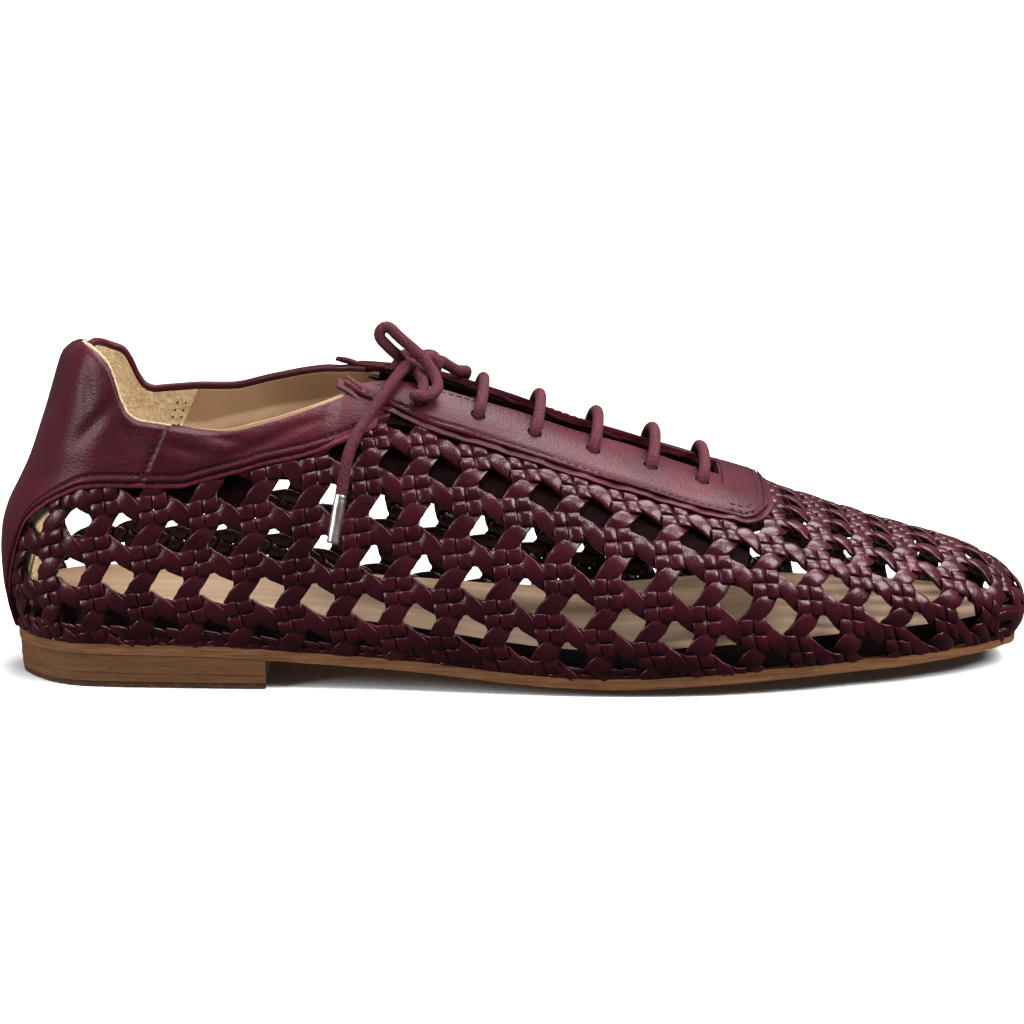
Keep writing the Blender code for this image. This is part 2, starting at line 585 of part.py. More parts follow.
BAR_LIFT = SEAT_GAP + LEATHER + LACE_RADIUS + 0.35
for number, (u, arch) in enumerate(zip(EYELET_U[1:], BAR_ARCH), 1):
    route = []
    for share in (-1, -0.72, -0.4, 0, 0.4, 0.72, 1):
        side = OUTER if share <= 0 else INNER
        away = abs(share) * EYELET_FROM_RIDGE
        lift = max(BAR_LIFT if away > 6 else 0, BAR_LIFT + (arch - BAR_LIFT) * (1 - share**2))
        route.append(on_last(side, u, reach_at(side, u) - away, lift))
    add_cord(f"lace_bar_{number}", route, LACE_RADIUS, 7, finish(f"lace_bar_{number}", LACE_COLOUR, 0.6))
wrap = [(KNOT_CENTRE[0] - KNOT_TURN * cos(a), KNOT_START_Y - KNOT_PITCH * a / (2 * pi),
         KNOT_CENTRE[1] - KNOT_TURN * sin(a)) for a in np.linspace(0, 4 * pi, 13)]
add_cord("lace_knot", KNOT_LEADS[0] + wrap + KNOT_LEADS[1], LACE_RADIUS, 24,
         finish("lace_knot", LACE_COLOUR, 0.6))
add_cord("lace_loop_near", NEAR_LOOP, LACE_RADIUS, 26, finish("lace_loop_near", LACE_COLOUR, 0.6))
add_cord("lace_loop_far", FAR_LOOP, LACE_RADIUS, 16, finish("lace_loop_far", LACE_COLOUR, 0.6))
for route, name in ((NEAR_END, "near"), (FAR_END, "far")):
    add_cord(f"lace_end_{name}", route, LACE_RADIUS, 12, finish(f"lace_end_{name}", LACE_COLOUR, 0.6))
    tail = np.array(route[-1]) - np.array(route[-2])
    tail /= np.linalg.norm(tail)
    start = np.array(route[-1]) + PIECE_GAP * tail
    add_cord(f"aglet_{name}", [start, start + AGLET_LENGTH * tail], AGLET_RADIUS, 2,
             finish(f"aglet_{name}", SILVER, 0.3, 1.0))
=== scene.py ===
"""Looks of a woven leather lace-up flat, the right shoe.

The tables of the last, of the lines on it and of the lace routes are the ones that shape the
solids, apart from the inner collar and the tab, which are fitted. Their lengths are
millimetres from the back of the heel (X), the middle of the heel (Y, minus on the outer side) and
the floor (Z). to_row() moves points into the shoe's own frame, in metres.
"""
import bmesh
import bpy
import numpy as np
from functools import partial
from math import cos, pi, radians, sin
from mathutils import Matrix, Vector


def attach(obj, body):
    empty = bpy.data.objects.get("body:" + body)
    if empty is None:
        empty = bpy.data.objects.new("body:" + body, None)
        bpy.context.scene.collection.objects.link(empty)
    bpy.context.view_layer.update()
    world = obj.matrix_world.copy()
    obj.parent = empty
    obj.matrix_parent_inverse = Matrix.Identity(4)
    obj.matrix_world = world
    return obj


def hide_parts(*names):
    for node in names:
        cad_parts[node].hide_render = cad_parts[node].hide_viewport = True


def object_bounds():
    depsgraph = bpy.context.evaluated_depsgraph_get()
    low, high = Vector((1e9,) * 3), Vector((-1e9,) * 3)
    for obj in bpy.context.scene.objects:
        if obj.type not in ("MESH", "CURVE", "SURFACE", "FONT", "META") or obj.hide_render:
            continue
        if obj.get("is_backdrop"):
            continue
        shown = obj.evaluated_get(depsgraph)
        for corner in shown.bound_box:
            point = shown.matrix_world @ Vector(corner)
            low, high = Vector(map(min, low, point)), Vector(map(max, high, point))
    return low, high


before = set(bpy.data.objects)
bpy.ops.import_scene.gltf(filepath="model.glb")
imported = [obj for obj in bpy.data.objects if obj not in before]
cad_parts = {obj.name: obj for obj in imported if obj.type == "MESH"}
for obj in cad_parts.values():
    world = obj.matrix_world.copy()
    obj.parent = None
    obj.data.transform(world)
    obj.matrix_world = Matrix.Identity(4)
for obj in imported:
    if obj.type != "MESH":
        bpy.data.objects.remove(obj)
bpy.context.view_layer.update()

# Sizes in millimetres
SHOE_MIDDLE = (132.55, 6.1)
SOLE_EDGE = 2.6
SOLE_LIP = 0.8
HEEL_FRONT_X = 70.0
TOP_PIECE = 1.3
FOOTBED = 7.5
WALL = 1.6
PIECE_GAP = 0.3
LACE_RADIUS = 1.5
EYELET_RADIUS = 1.95
EYESTAY_LIP = 1.5
EYELET_FROM_RIDGE = 17.5
FLAT_SOLE = (140.0, 190.0)

# One row for each section of the last, heel to toe
SECTION_COLUMNS = ("side_x", "half_width", "centre_y", "crown_x",
                   "crown_z", "rise", "roundness", "back_share")
SECTIONS = [
    (0, 0, 0, 0, 112, 13, 2.2, 1.0),
    (1.6, 9.3, 0, 3, 112, 13, 2.2, 0.94),
    (6.3, 17.5, 0, 9, 112, 13, 2.2, 0.77),
    (13.5, 23.6, 0, 18, 112, 13, 2.2, 0.5),
    (23, 27, 0, 32, 110, 13, 2.2, 0.2),
    (35, 28, -0.3, 48, 107, 13, 2.25, 0.05),
    (50, 28.3, -0.8, 64, 101, 13, 2.3, 0),
    (68, 28.6, -1.3, 81, 89, 13, 2.35, 0),
    (85, 29.3, -1.4, 96, 79.5, 13, 2.45, 0),
    (103, 31.2, -1.0, 113, 75.7, 12.5, 2.55, 0),
    (122, 34.4, 0.0, 131, 68.8, 12, 2.6, 0),
    (140, 38.2, 1.8, 148.5, 61.9, 11, 2.6, 0),
    (157, 41.4, 3.6, 165, 56.2, 10.5, 2.6, 0),
    (172, 43.2, 5.2, 179.5, 51.2, 10, 2.6, 0),
    (186, 43.6, 6.5, 193, 46.7, 9.5, 2.65, 0),
    (199, 42.2, 7.5, 205.5, 41.9, 9, 2.65, 0),
    (211, 39.6, 8.1, 217, 38.1, 8.5, 2.65, 0),
    (222, 36, 8.5, 226.5, 35.2, 8, 2.6, 0),
    (232, 32.8, 8.7, 235.5, 32.7, 7.5, 2.55, 0),
    (240.5, 29, 8.8, 243.5, 30.7, 7, 2.5, 0),
    (246.5, 25.6, 8.7, 250.5, 28.6, 6.5, 2.4, 0),
    (251, 22.4, 8.5, 256, 26.2, 6, 2.35, 0),
    (254.3, 19.4, 8.3, 260.2, 23.5, 5, 2.3, 0),
    (256.6, 16.8, 8.2, 263.2, 20.8, 4, 2.25, 0),
    (258, 14.8, 8.1, 265.2, 17.8, 3, 2.2, 0),
    (258.8, 13.6, 8.0, 266, 14.9, 2, 2.15, 0),
    (259.2, 12.9, 8.0, 265.4, 11.5, 1, 2.1, 0),
    (259.4, 12.4, 8.0, 263.2, 7.9, 0.05, 2, 0),
]
# Height of the line where the upper meets the sole: X, Z
FEATHER = [(0, 11.6), (54, 11.2), (80, 9.8), (107, 8.2), (132, 5.9), (145, 5.0), (158, 4.7), (170, 5.0),
           (182, 5.6), (194, 6.2), (206, 6.7), (219, 7.0), (233, 7.2), (247, 7.4), (263, 7.9)]
# Shape of the back of the heel: Z, X
HEEL_BACK = [(11, 5.4), (14, 4.6), (18, 3.2), (24, 1.6), (30, 1.2), (35, 1.5), (42, 3), (49, 5.8),
             (53, 7.4), (58, 9.2), (63, 10.9), (67.5, 12.5), (72, 14), (76.6, 15.6), (80.6, 17),
             (87, 20), (112, 30)]
# Lines drawn on the wall: U along the shoe from the back seam, V up the wall from the sole
COLLAR_TOP = [(0, 79.5), (12, 79.5), (22, 78.5), (28, 77), (33, 75), (36, 73), (38.2, 70),
              (41.4, 64), (44, 60.5), (47, 58.9), (51, 58.4), (59, 57.3), (67, 56.8), (77, 59.5),
              (86, 63.2), (94, 67.4), (96.5, 69.2), (102, 71.8), (108, 73.3)]
INNER_COLLAR = [(0, 0), (46, 0), (60, 2.7), (82, 4.1), (90, 3.5), (95, 2), (100, 1), (108, 0)]
PIPING = [(0, 0), (9.2, 0), (10.6, 8), (13, 15), (16.2, 23), (18.8, 31), (23, 35.6), (28.7, 39.3),
          (34.5, 41.7), (40, 42.4), (52, 42.6), (60, 42.8), (64.7, 44.2), (69, 45.5), (74.3, 47.2),
          (78.7, 48.9), (88.6, 51.9), (97.8, 55.9), (110.8, 63.5), (125, 72)]
# Outer edge of the eyestay: U, distance from the ridge
EYESTAY_EDGE = [(96.5, 18.2), (109, 21.1), (123, 25.2), (139, 25.8), (155, 27.1), (166, 28.4),
                (179, 29.5), (192.5, 30.7), (203, 30.6), (206.5, 29), (209.5, 25), (211.8, 18.5)]
EYESTAY_REAR_U = EYESTAY_EDGE[0][0]
EYESTAY_ROUND_U = 203           # in front of this its edge turns towards the ridge
EYESTAY_FRONT_U = EYESTAY_EDGE[-1][0]
# Half of the throat's gap: U, half gap
THROAT = [(100, 11.2), (108, 11.7), (118, 12), (128, 11.6), (140, 10.4), (155, 9), (172, 7.6),
          (186, 8.2), (200, 9)]
THROAT_REAR_U = 108
THROAT_FRONT_U = 196.5
EYELET_U = (116.8, 131.6, 146.6, 162.2, 177.6, 191.6)
# Weave rows: height of the middle row up the wall, and the other rows' distances from it
MIDDLE_ROW = [(0, 38.6), (30, 38.4), (43, 37.6), (55, 35.8), (67.4, 35.1), (80.5, 34.6), (93.2, 34.4),
              (106, 32.7), (119, 31.5), (132.4, 29.8), (145.5, 28.6), (158.5, 26.2), (172, 22.9),
              (185.7, 19.5), (198.3, 15.3), (211, 11.0)]
ROW_STEP = [(-3, -38), (-2, -25.3), (-1, -12.8), (0, 0), (1, 13.6), (2, 25), (3, 36.3), (4, 47.8),
            (5, 59.2)]
RIDGE_ROW = 5
# The tab sits lower at the back seam and on the inner side: U, drop
TAB_DROP = [(0, 0.9), (10, 0.5), (22, 0.2), (40, 0), (60, 0)]
INNER_TAB_DROP = [(0, 0), (5, 1.1), (10, 2.8), (16, 4.2), (30, 4.2), (40, 2), (50, 0), (60, 0)]

# Lace routes: X, Y, Z
KNOT_LEADS = ([(110.6, 13.4, 77.3), (110, 9.4, 79), (109.4, 5.2, 80.6), (108.9, 2, 81.3)],
              [(109, -11, 79.6), (109.6, -13.8, 78.4), (110.4, -16.2, 77.2)])
KNOT_CENTRE = (111.4, 80)       # X and Z of the wrap's middle
KNOT_TURN = 2.3                 # radius of the wrap
KNOT_PITCH = 3.9
KNOT_START_Y = -0.8
NEAR_LOOP = [(108.3, -21.2, 75), (110.8, -21.2, 74.5), (112.9, -20.2, 75.1), (114.1, -17.8, 76.6),
             (113.3, -15.2, 78.9), (111.5, -13.6, 81.6), (108.8, -12.8, 84.5), (105.6, -12.2, 87.2),
             (103.7, -12, 88.9), (102.2, -11.8, 90.4), (100.9, -11.6, 90.9), (99.7, -11.6, 90.2),
             (99.2, -11.6, 88.9), (99.7, -11.6, 87.6), (100.6, -11.5, 86.6), (102, -11.2, 85.1),
             (103.8, -10.3, 83.3), (105.9, -8.4, 81.1)]
FAR_LOOP = [(114.4, 0.8, 79.9), (116.5, 4.4, 78), (118.6, 7.4, 76.2), (120.4, 10.6, 75.5),
            (121, 14.4, 74.6), (120.4, 18.4, 72.6), (118, 21.8, 70.2), (114.8, 23, 69.3),
            (111.8, 21.6, 71.2), (110.4, 18.4, 74.2)]
NEAR_END = [(106, -12, 80.8), (103.5, -16.8, 78.8), (101.2, -20.4, 76.1), (98.6, -23.4, 72.9),
            (96.4, -25.8, 70), (94.2, -28.4, 66.8), (92.3, -30.8, 63), (91.2, -32.4, 58.8), (90, -34, 52)]
FAR_END = [(105.6, 5, 80.6), (104.6, 11.4, 79.4), (102.8, 17.8, 76), (100.4, 23.2, 70.8), (98, 27, 64.2),
           (96, 29.6, 57.8), (94.6, 31, 52)]
BAR_ARCH = (2.8, 4.3, 5.1, 5.4, 4.2)    # height of each bar's solid over the ridge line
AGLET_LENGTH = 12.5
AGLET_RADIUS = 1.6
AGLET_CRIMPS = [(0.08, 0.08), (0.9, 0.05)]      # share along it, depth as a share of the radius


def smooth(table, at):
    """Read a two-column table with a curve that never overshoots its rows."""
    xs, ys = np.array(table, float).T
    at = np.clip(np.asarray(at, float), xs[0], xs[-1])
    step = np.diff(xs)
    slope = np.diff(ys) / step
    lean = np.zeros_like(ys)
    lean[0], lean[-1] = slope[0], slope[-1]
    for k in range(1, len(xs) - 1):
        if slope[k - 1] * slope[k] > 0:
            before = 2 * step[k] + step[k - 1]
            after = step[k] + 2 * step[k - 1]
            lean[k] = (before + after) / (before / slope[k - 1] + after / slope[k])
    k = np.clip(np.searchsorted(xs, at) - 1, 0, len(xs) - 2)
    t = (at - xs[k]) / step[k]
    start = (2 * t**3 - 3 * t**2 + 1) * ys[k] + (t**3 - 2 * t**2 + t) * step[k] * lean[k]
    return start + (3 * t**2 - 2 * t**3) * ys[k + 1] + (t**3 - t**2) * step[k] * lean[k + 1]


def fade(value, low, high):
    """0 below low, 1 above high, and a soft step between."""
    t = np.clip((np.asarray(value, float) - low) / (high - low), 0, 1)
    return t * t * (3 - 2 * t)


def bell(away, width):
    """1 in the middle of a soft ridge or groove, fading out to both sides."""
    return np.exp(-(away / width) ** 2)


def walked_along(line):
    """Distance along a line of points, at each of them."""
    return np.r_[0, np.cumsum(np.linalg.norm(np.diff(line, axis=0), axis=1))]


def to_row(points):
    """Into the shoe's frame, with the heel's back curve and the toe drawn out a little."""
    points = np.array(points, float)
    x, z = points[..., 0], points[..., 2]
    back = 1.3 * fade(z, 38, 58) - 0.9 * bell(z - 14, 6)
    points[..., 0] = x + back * (1 - fade(x, 8, 40)) + 1.7 * fade(x, 236, 264)
    return (points - (*SHOE_MIDDLE, 0)) * 0.001


# The last: a grid of points on each side, from the sole up to the ridge
STATIONS, STEPS = 241, 81
CHART_HEIGHT = 25               # height up the outer wall at which U is measured
OUTER, INNER = 0, 1


def last_grid():
    rows = np.array(SECTIONS, float)
    along = np.hypot(np.diff(rows[:, 0]), np.diff(rows[:, 1]))
    over = np.hypot(np.diff(rows[:, 3]), np.diff(rows[:, 4]))
    place = np.r_[0, np.cumsum(np.maximum(along, (along + over) / 2))]
    at = np.linspace(0, place[-1], STATIONS)
    column = {name: smooth(np.c_[place, rows[:, k]], at) for k, name in enumerate(SECTION_COLUMNS)}
    points = np.zeros((2, STATIONS, STEPS, 3))
    reach = np.zeros((2, STATIONS))
    low = np.linspace(0, 1, 25)[:-1]
    turn = np.linspace(0, pi / 2, 200)
    for i in range(STATIONS):
        s = {name: values[i] for name, values in column.items()}
        foot = float(smooth(FEATHER, s["side_x"]))
        widest = foot + s["rise"]
        up = np.sin(turn) ** (2 / s["roundness"])
        across = np.cos(turn) ** (2 / s["roundness"])
        tuck = 2.2 * min(1, s["rise"] / 8) * min(1, s["half_width"] / 20)
        z = np.r_[foot + low * s["rise"], widest + up * (s["crown_z"] - widest)]
        y = np.r_[np.maximum(s["half_width"] - tuck * (1 - low) ** 2, 0), s["half_width"] * across]
        x = s["side_x"] + (s["crown_x"] - s["side_x"]) * np.r_[0 * low, up]
        x = x + s["back_share"] * smooth(HEEL_BACK, z)
        for side, sign in ((OUTER, -1), (INNER, 1)):
            line = np.c_[x, s["centre_y"] + sign * y, z]
            walked = walked_along(line)
            even = np.linspace(0, walked[-1], STEPS)
            reach[side, i] = walked[-1]
            points[side, i] = np.stack([np.interp(even, walked, line[:, k]) for k in range(3)], -1)
    return points, reach


def last_normals(points):
    normals = np.cross(np.gradient(points, axis=1), np.gradient(points, axis=2))
    normals[INNER] *= -1
    normals[:, 0, :, 1] = 0
    ridge = normals[:, :, -1] / np.linalg.norm(normals[:, :, -1], axis=-1, keepdims=True)
    normals[:, :, -1] = ridge[OUTER] + ridge[INNER]
    return normals / np.linalg.norm(normals, axis=-1, keepdims=True)


def length_along():
    """U of each station, walked along the outer wall at one height."""
    level = np.minimum(CHART_HEIGHT / REACH[OUTER], 0.5) * (STEPS - 1)
    walk = np.array([[np.interp(level[i], np.arange(STEPS), POINTS[OUTER, i, :, k]) for k in range(3)]
                     for i in range(STATIONS)])
    return walked_along(walk)


POINTS, REACH = last_grid()
NORMALS = last_normals(POINTS)
STATION_U = length_along()
TIP_U = STATION_U[-1]


def reach_at(side, u):
    """Length of the wall from the sole up to the ridge."""
    u = np.asarray(u, float)
    outer, inner = (np.interp(u, STATION_U, reach) for reach in REACH)
    return np.where(side == OUTER, outer, inner)


def on_last(side, u, v, lift):
    """Points on the last, moved out along its normal, in metres in the shoe's frame."""
    side, u, v, lift = np.broadcast_arrays(side, np.asarray(u, float), np.asarray(v, float), lift)
    i = np.interp(u, STATION_U, np.arange(STATIONS))
    j = np.clip(v / reach_at(side, u), 0, 1) * (STEPS - 1)
    i0 = np.minimum(i.astype(int), STATIONS - 2)
    j0 = np.minimum(j.astype(int), STEPS - 2)
    a, b = (i - i0)[..., None], (j - j0)[..., None]
    point, normal = (
        (1 - a) * (1 - b) * grid[side, i0, j0] + (1 - a) * b * grid[side, i0, j0 + 1]
        + a * (1 - b) * grid[side, i0 + 1, j0] + a * b * grid[side, i0 + 1, j0 + 1]
        for grid in (POINTS, NORMALS))
    point = point + np.asarray(lift)[..., None] * normal / np.linalg.norm(normal, axis=-1, keepdims=True)
    point[..., 2] += np.clip(v, -1.6, 0)
    return to_row(point)


def top_v(side, u):
    """V of the collar's top edge."""
    inner = smooth(INNER_COLLAR, u) - smooth(INNER_TAB_DROP, u)
    return smooth(COLLAR_TOP, u) - smooth(TAB_DROP, u) + np.where(side == INNER, inner, 0)


def clear_of_cover(side, u, v):
    """Distance from the smooth pieces that lie over the weave; minus under them."""
    edge = smooth(PIPING, u) - v
    below_eyestay = reach_at(side, u) - smooth(EYESTAY_EDGE, np.minimum(u, EYESTAY_ROUND_U)) - v
    front = np.maximum(below_eyestay, u - EYESTAY_FRONT_U)
    ahead = np.where(u > EYESTAY_ROUND_U, front, np.minimum(edge, below_eyestay))
    return np.where(u < EYESTAY_REAR_U, edge, ahead)


def throat_half(side, u):
    """Half of the throat's gap; at its rear, the distance from the collar's top to the ridge."""
    return np.where(u < THROAT_REAR_U, reach_at(side, u) - top_v(side, u), smooth(THROAT, u))


# Shader values and finishes
class Value:
    """A node's output. Arithmetic on it adds Math nodes."""

    def __init__(self, finish, socket):
        self.finish = finish
        self.socket = socket

    def math(self, operation, other):
        return self.finish.node("ShaderNodeMath", {"operation": operation}, {0: self, 1: other})

    def __add__(self, other):
        return self.math("ADD", other)

    def __mul__(self, other):
        return self.math("MULTIPLY", other)

    __radd__ = __add__
    __rmul__ = __mul__


class Finish:
    """A material made of nodes, named for the leather, cord or metal it stands for."""

    def __init__(self, name, **constants):
        self.material = bpy.data.materials.new(name)
        self.material.use_nodes = True
        self.tree = self.material.node_tree
        self.shader = self.tree.nodes["Principled BSDF"]
        for name, value in constants.items():
            socket = name.replace("_", " ").title().replace("Ior", "IOR")
            self.shader.inputs[socket].default_value = value
        self.spot = self.node("ShaderNodeTexCoord", out="Object")

    def node(self, kind, settings=None, inputs=None, out=0):
        """Any node: its settings first, then the values or links of its sockets."""
        made = self.tree.nodes.new(kind)
        for name, value in (settings or {}).items():
            setattr(made, name, value)
        for name, value in (inputs or {}).items():
            if isinstance(value, Value):
                self.tree.links.new(value.socket, made.inputs[name])
            else:
                made.inputs[name].default_value = value
        return Value(self, made.outputs[out])

    def stretched(self, scale):
        return self.node("ShaderNodeMapping", inputs={"Vector": self.spot, "Scale": scale})

    def noise(self, scale, detail=3.0, roughness=0.5, spot=None):
        return self.node("ShaderNodeTexNoise", inputs={
            "Vector": spot or self.spot, "Scale": scale, "Detail": detail, "Roughness": roughness})

    def cells(self, scale):
        return self.node("ShaderNodeTexVoronoi", {"feature": "F1"}, {
            "Vector": self.spot, "Scale": scale})

    def attribute(self, name):
        return self.node("ShaderNodeAttribute", {"attribute_name": name}, out="Fac")

    def between(self, value, low, high):
        """0 where value is under low, 1 over high."""
        return self.node("ShaderNodeMapRange", {"interpolation_type": "SMOOTHSTEP"}, {
            "Value": value, "From Min": low, "From Max": high})

    def blend(self, share, first, second):
        """A colour between two, each a link or three numbers."""
        first, second = ((*c, 1) if isinstance(c, tuple) else c for c in (first, second))
        return self.node("ShaderNodeMix", {"data_type": "RGBA"}, {0: share, 6: first, 7: second}, out=2)

    def dents(self, height, distance, strength=1.0, under=None):
        inputs = {"Height": height, "Distance": distance, "Strength": strength}
        if under:
            inputs["Normal"] = under
        return self.node("ShaderNodeBump", inputs=inputs)

    def wear(self, **sockets):
        """Link values that change over the surface to the shader."""
        for name, value in sockets.items():
            self.tree.links.new(value.socket, self.shader.inputs[name.replace("_", " ").title()])
        return self.material


def strip_leather():
    """Narrow cut strips: dark burgundy, paler along the cut edges; near-black on the back, a dark flesh
    side that also serves as painted shade inside the shoe, and painted shade low on their sides, in the
    cracks between strips.
    """
    f = Finish("woven_strips", specular_ior_level=0.38, specular_tint=(1, 0.80, 0.83, 1))
    edge = f.attribute("edge")
    patches = f.noise(90, 2)
    fine = f.noise(1400, 4, 0.65)
    pores = f.cells(1900)
    body = f.blend(f.between(patches, 0.35, 0.7), (0.026, 0.0023, 0.0050), (0.047, 0.0046, 0.0092))
    body = f.blend(f.between(fine, 0.5, 0.8) * 0.25, body, (0.085, 0.012, 0.021))
    colour = f.blend(f.between(edge, 0.6, 1.0) * 0.25, body, (0.16, 0.030, 0.048))
    # Painted shade: near-black on the back and low sides of each strip, for the cracks between strips and
    # the shoe's dark inside; the back is also the dark flesh side
    colour = f.blend(f.between(edge, -0.1, -0.6), colour, (0.007, 0.0018, 0.0026))
    grain = f.dents(fine * 0.6 + pores * 0.4, 0.0001, 0.6)
    folds = f.dents(f.noise(300, 3), 0.0006, 0.4, grain)
    return f.wear(base_color=colour, roughness=0.15 + 0.16 * fine + 0.1 * patches, normal=folds)


def smooth_leather():
    """Full-grain burgundy leather of the counter, collar and eyestay."""
    f = Finish("smooth_burgundy", specular_ior_level=0.27, specular_tint=(1, 0.84, 0.86, 1))
    patches = f.noise(38, 3)
    fine = f.noise(900, 5, 0.6)
    pores = f.cells(1500)
    folds = f.noise(1, 3, 0.5, f.stretched((120, 160, 240)))
    body = f.blend(f.between(patches, 0.3, 0.75), (0.040, 0.0037, 0.0083), (0.072, 0.0078, 0.0150))
    colour = f.blend(f.between(fine, 0.52, 0.8) * 0.4, body, (0.115, 0.020, 0.031))
    grain = f.dents(fine * 0.4 + pores * 0.6, 0.00015, 0.7)
    normal = f.dents(folds, 0.0006, 0.25, grain)
    return f.wear(base_color=colour, roughness=0.27 + 0.2 * fine + 0.1 * patches, normal=normal)


def plain(name, shine, noise, steps, dark, pale, roughness, dents):
    """A finish of one noise, which shades the colour, the roughness and the dents."""
    f = Finish(name, specular_ior_level=shine)
    grain = f.noise(*noise)
    colour = f.blend(f.between(grain, *steps), dark, pale)
    return f.wear(base_color=colour, roughness=roughness[0] + roughness[1] * grain,
                  normal=f.dents(grain, *dents))


def suede_lining():
    f = Finish("tan_suede", specular_ior_level=0.15, sheen_weight=0.25)
    nap = f.noise(950, 5, 0.75)
    clumps = f.noise(520, 3, 0.6)
    pile = f.between(clumps * 0.5 + nap * 0.5, 0.36, 0.66)
    colour = f.blend(pile, (0.64, 0.43, 0.225), (0.93, 0.73, 0.455))
    return f.wear(base_color=colour, roughness=0.88 + 0.1 * nap,
                  normal=f.dents(nap * 0.7 + clumps * 0.3, 0.0007, 0.8))


def tan_lining():
    f = Finish("tan_lining_leather", specular_ior_level=0.4)
    fine = f.noise(1000, 4, 0.6)
    patches = f.noise(45, 3)
    colour = f.blend(f.between(patches, 0.3, 0.7), (0.33, 0.19, 0.10), (0.47, 0.29, 0.165))
    return f.wear(base_color=colour, roughness=0.42 + 0.2 * fine, normal=f.dents(fine, 0.0002, 0.4))


def footbed_leather():
    """Smooth tan leather, brushed along the foot."""
    f = Finish("footbed_leather", specular_ior_level=0.35)
    streaks = f.noise(1, 4, 0.6, f.stretched((14, 330, 330)))
    patches = f.noise(26, 3)
    fine = f.noise(1300, 3)
    colour = f.blend(f.between(streaks, 0.3, 0.72), (0.35, 0.222, 0.138), (0.46, 0.325, 0.217))
    colour = f.blend(f.between(patches, 0.45, 0.8) * 0.4, colour, (0.30, 0.18, 0.10))
    return f.wear(base_color=colour, roughness=0.5 + 0.2 * streaks,
                  normal=f.dents(streaks * 0.6 + fine * 0.4, 0.00025, 0.5))


def sole_leather():
    """Vegetable-tanned sole: fibres run along its cut edge."""
    f = Finish("sole_leather", specular_ior_level=0.4)
    fibres = f.noise(1, 5, 0.7, f.stretched((70, 70, 1500)))
    specks = f.noise(650, 4, 0.7)
    patches = f.noise(30, 3)
    colour = f.blend(f.between(fibres, 0.32, 0.7), (0.125, 0.050, 0.018), (0.28, 0.125, 0.050))
    colour = f.blend(f.between(specks, 0.55, 0.8) * 0.6, colour, (0.34, 0.18, 0.085))
    colour = f.blend(f.between(patches, 0.5, 0.75) * 0.45, colour, (0.08, 0.034, 0.015))
    return f.wear(base_color=colour, roughness=0.42 + 0.25 * specks,
                  normal=f.dents(fibres * 0.6 + specks * 0.4, 0.0004, 0.6))


def stacked_leather():
    """Heel lifts: thin leather layers, sanded and burnished together."""
    f = Finish("stacked_heel_leather", specular_ior_level=0.4)
    fibres = f.noise(1, 5, 0.7, f.stretched((60, 60, 1300)))
    layers = f.noise(1, 2, 0.5, f.stretched((25, 25, 300)))
    specks = f.noise(1, 4, 0.7, f.stretched((420, 420, 900)))
    colour = f.blend(f.between(layers, 0.35, 0.68), (0.130, 0.054, 0.020), (0.170, 0.074, 0.028))
    colour = f.blend(f.between(fibres, 0.45, 0.75) * 0.4, colour, (0.25, 0.135, 0.066))
    colour = f.blend(f.between(specks, 0.5, 0.74) * 0.6, colour, (0.062, 0.027, 0.012))
    return f.wear(base_color=colour, roughness=0.4 + 0.25 * specks,
                  normal=f.dents(fibres * 0.35 + specks * 0.65, 0.0003, 0.5))


def waxed_lace():
    """Round braided cord, its wax rubbed chalky on the high spots."""
    f = Finish("waxed_lace", specular_ior_level=0.3)
    uv = f.node("ShaderNodeUVMap", {"uv_map": "wrap"})
    turned = [f.node("ShaderNodeMapping", inputs={"Vector": uv, "Rotation": (0, 0, angle)})
              for angle in (radians(38), radians(-38))]
    strands = [f.node("ShaderNodeTexWave", {"bands_direction": "X"}, {
        "Vector": way, "Scale": 0.9, "Distortion": 0.6, "Detail": 1.0, "Detail Scale": 2.0}, out="Fac")
        for way in turned]
    braid = strands[0] * strands[1]
    chalk = f.noise(2300, 4, 0.75)
    fuzz = f.noise(1900, 3, 0.6)
    rubbed = f.between(chalk + 0.15 * braid, 0.45, 0.68)
    colour = f.blend(rubbed, (0.044, 0.0036, 0.0090), (0.20, 0.036, 0.056))
    return f.wear(base_color=colour, roughness=0.62 + 0.22 * chalk,
                  normal=f.dents(braid * 0.45 + fuzz * 0.55, 0.0006, 0.9))


def aglet_metal():
    f = Finish("aglet_metal", metallic=1.0)
    scratches = f.noise(1, 4, 0.6, f.stretched((900, 900, 90)))
    colour = f.blend(f.between(scratches, 0.3, 0.7), (0.60, 0.48, 0.49), (0.84, 0.77, 0.77))
    return f.wear(base_color=colour, roughness=0.22 + 0.2 * scratches,
                  normal=f.dents(scratches, 0.0001, 0.4))


STRIPS = strip_leather()
SMOOTH = smooth_leather()
CUT_EDGE = plain("crimson_cut_edge", 0.35, (1100, 4, 0.7), (0.3, 0.75),
                 (0.10, 0.0085, 0.021), (0.21, 0.021, 0.047), (0.55, 0.2), (0.0003, 0.6))
SUEDE = suede_lining()
LINING = tan_lining()
BED = footbed_leather()
BED_SIDE = plain("footbed_side", 0.3, (900, 4, 0.6), (0.35, 0.7),
                 (0.010, 0.004, 0.005), (0.028, 0.010, 0.013), (0.6, 0.2), (0.0003, 0.5))
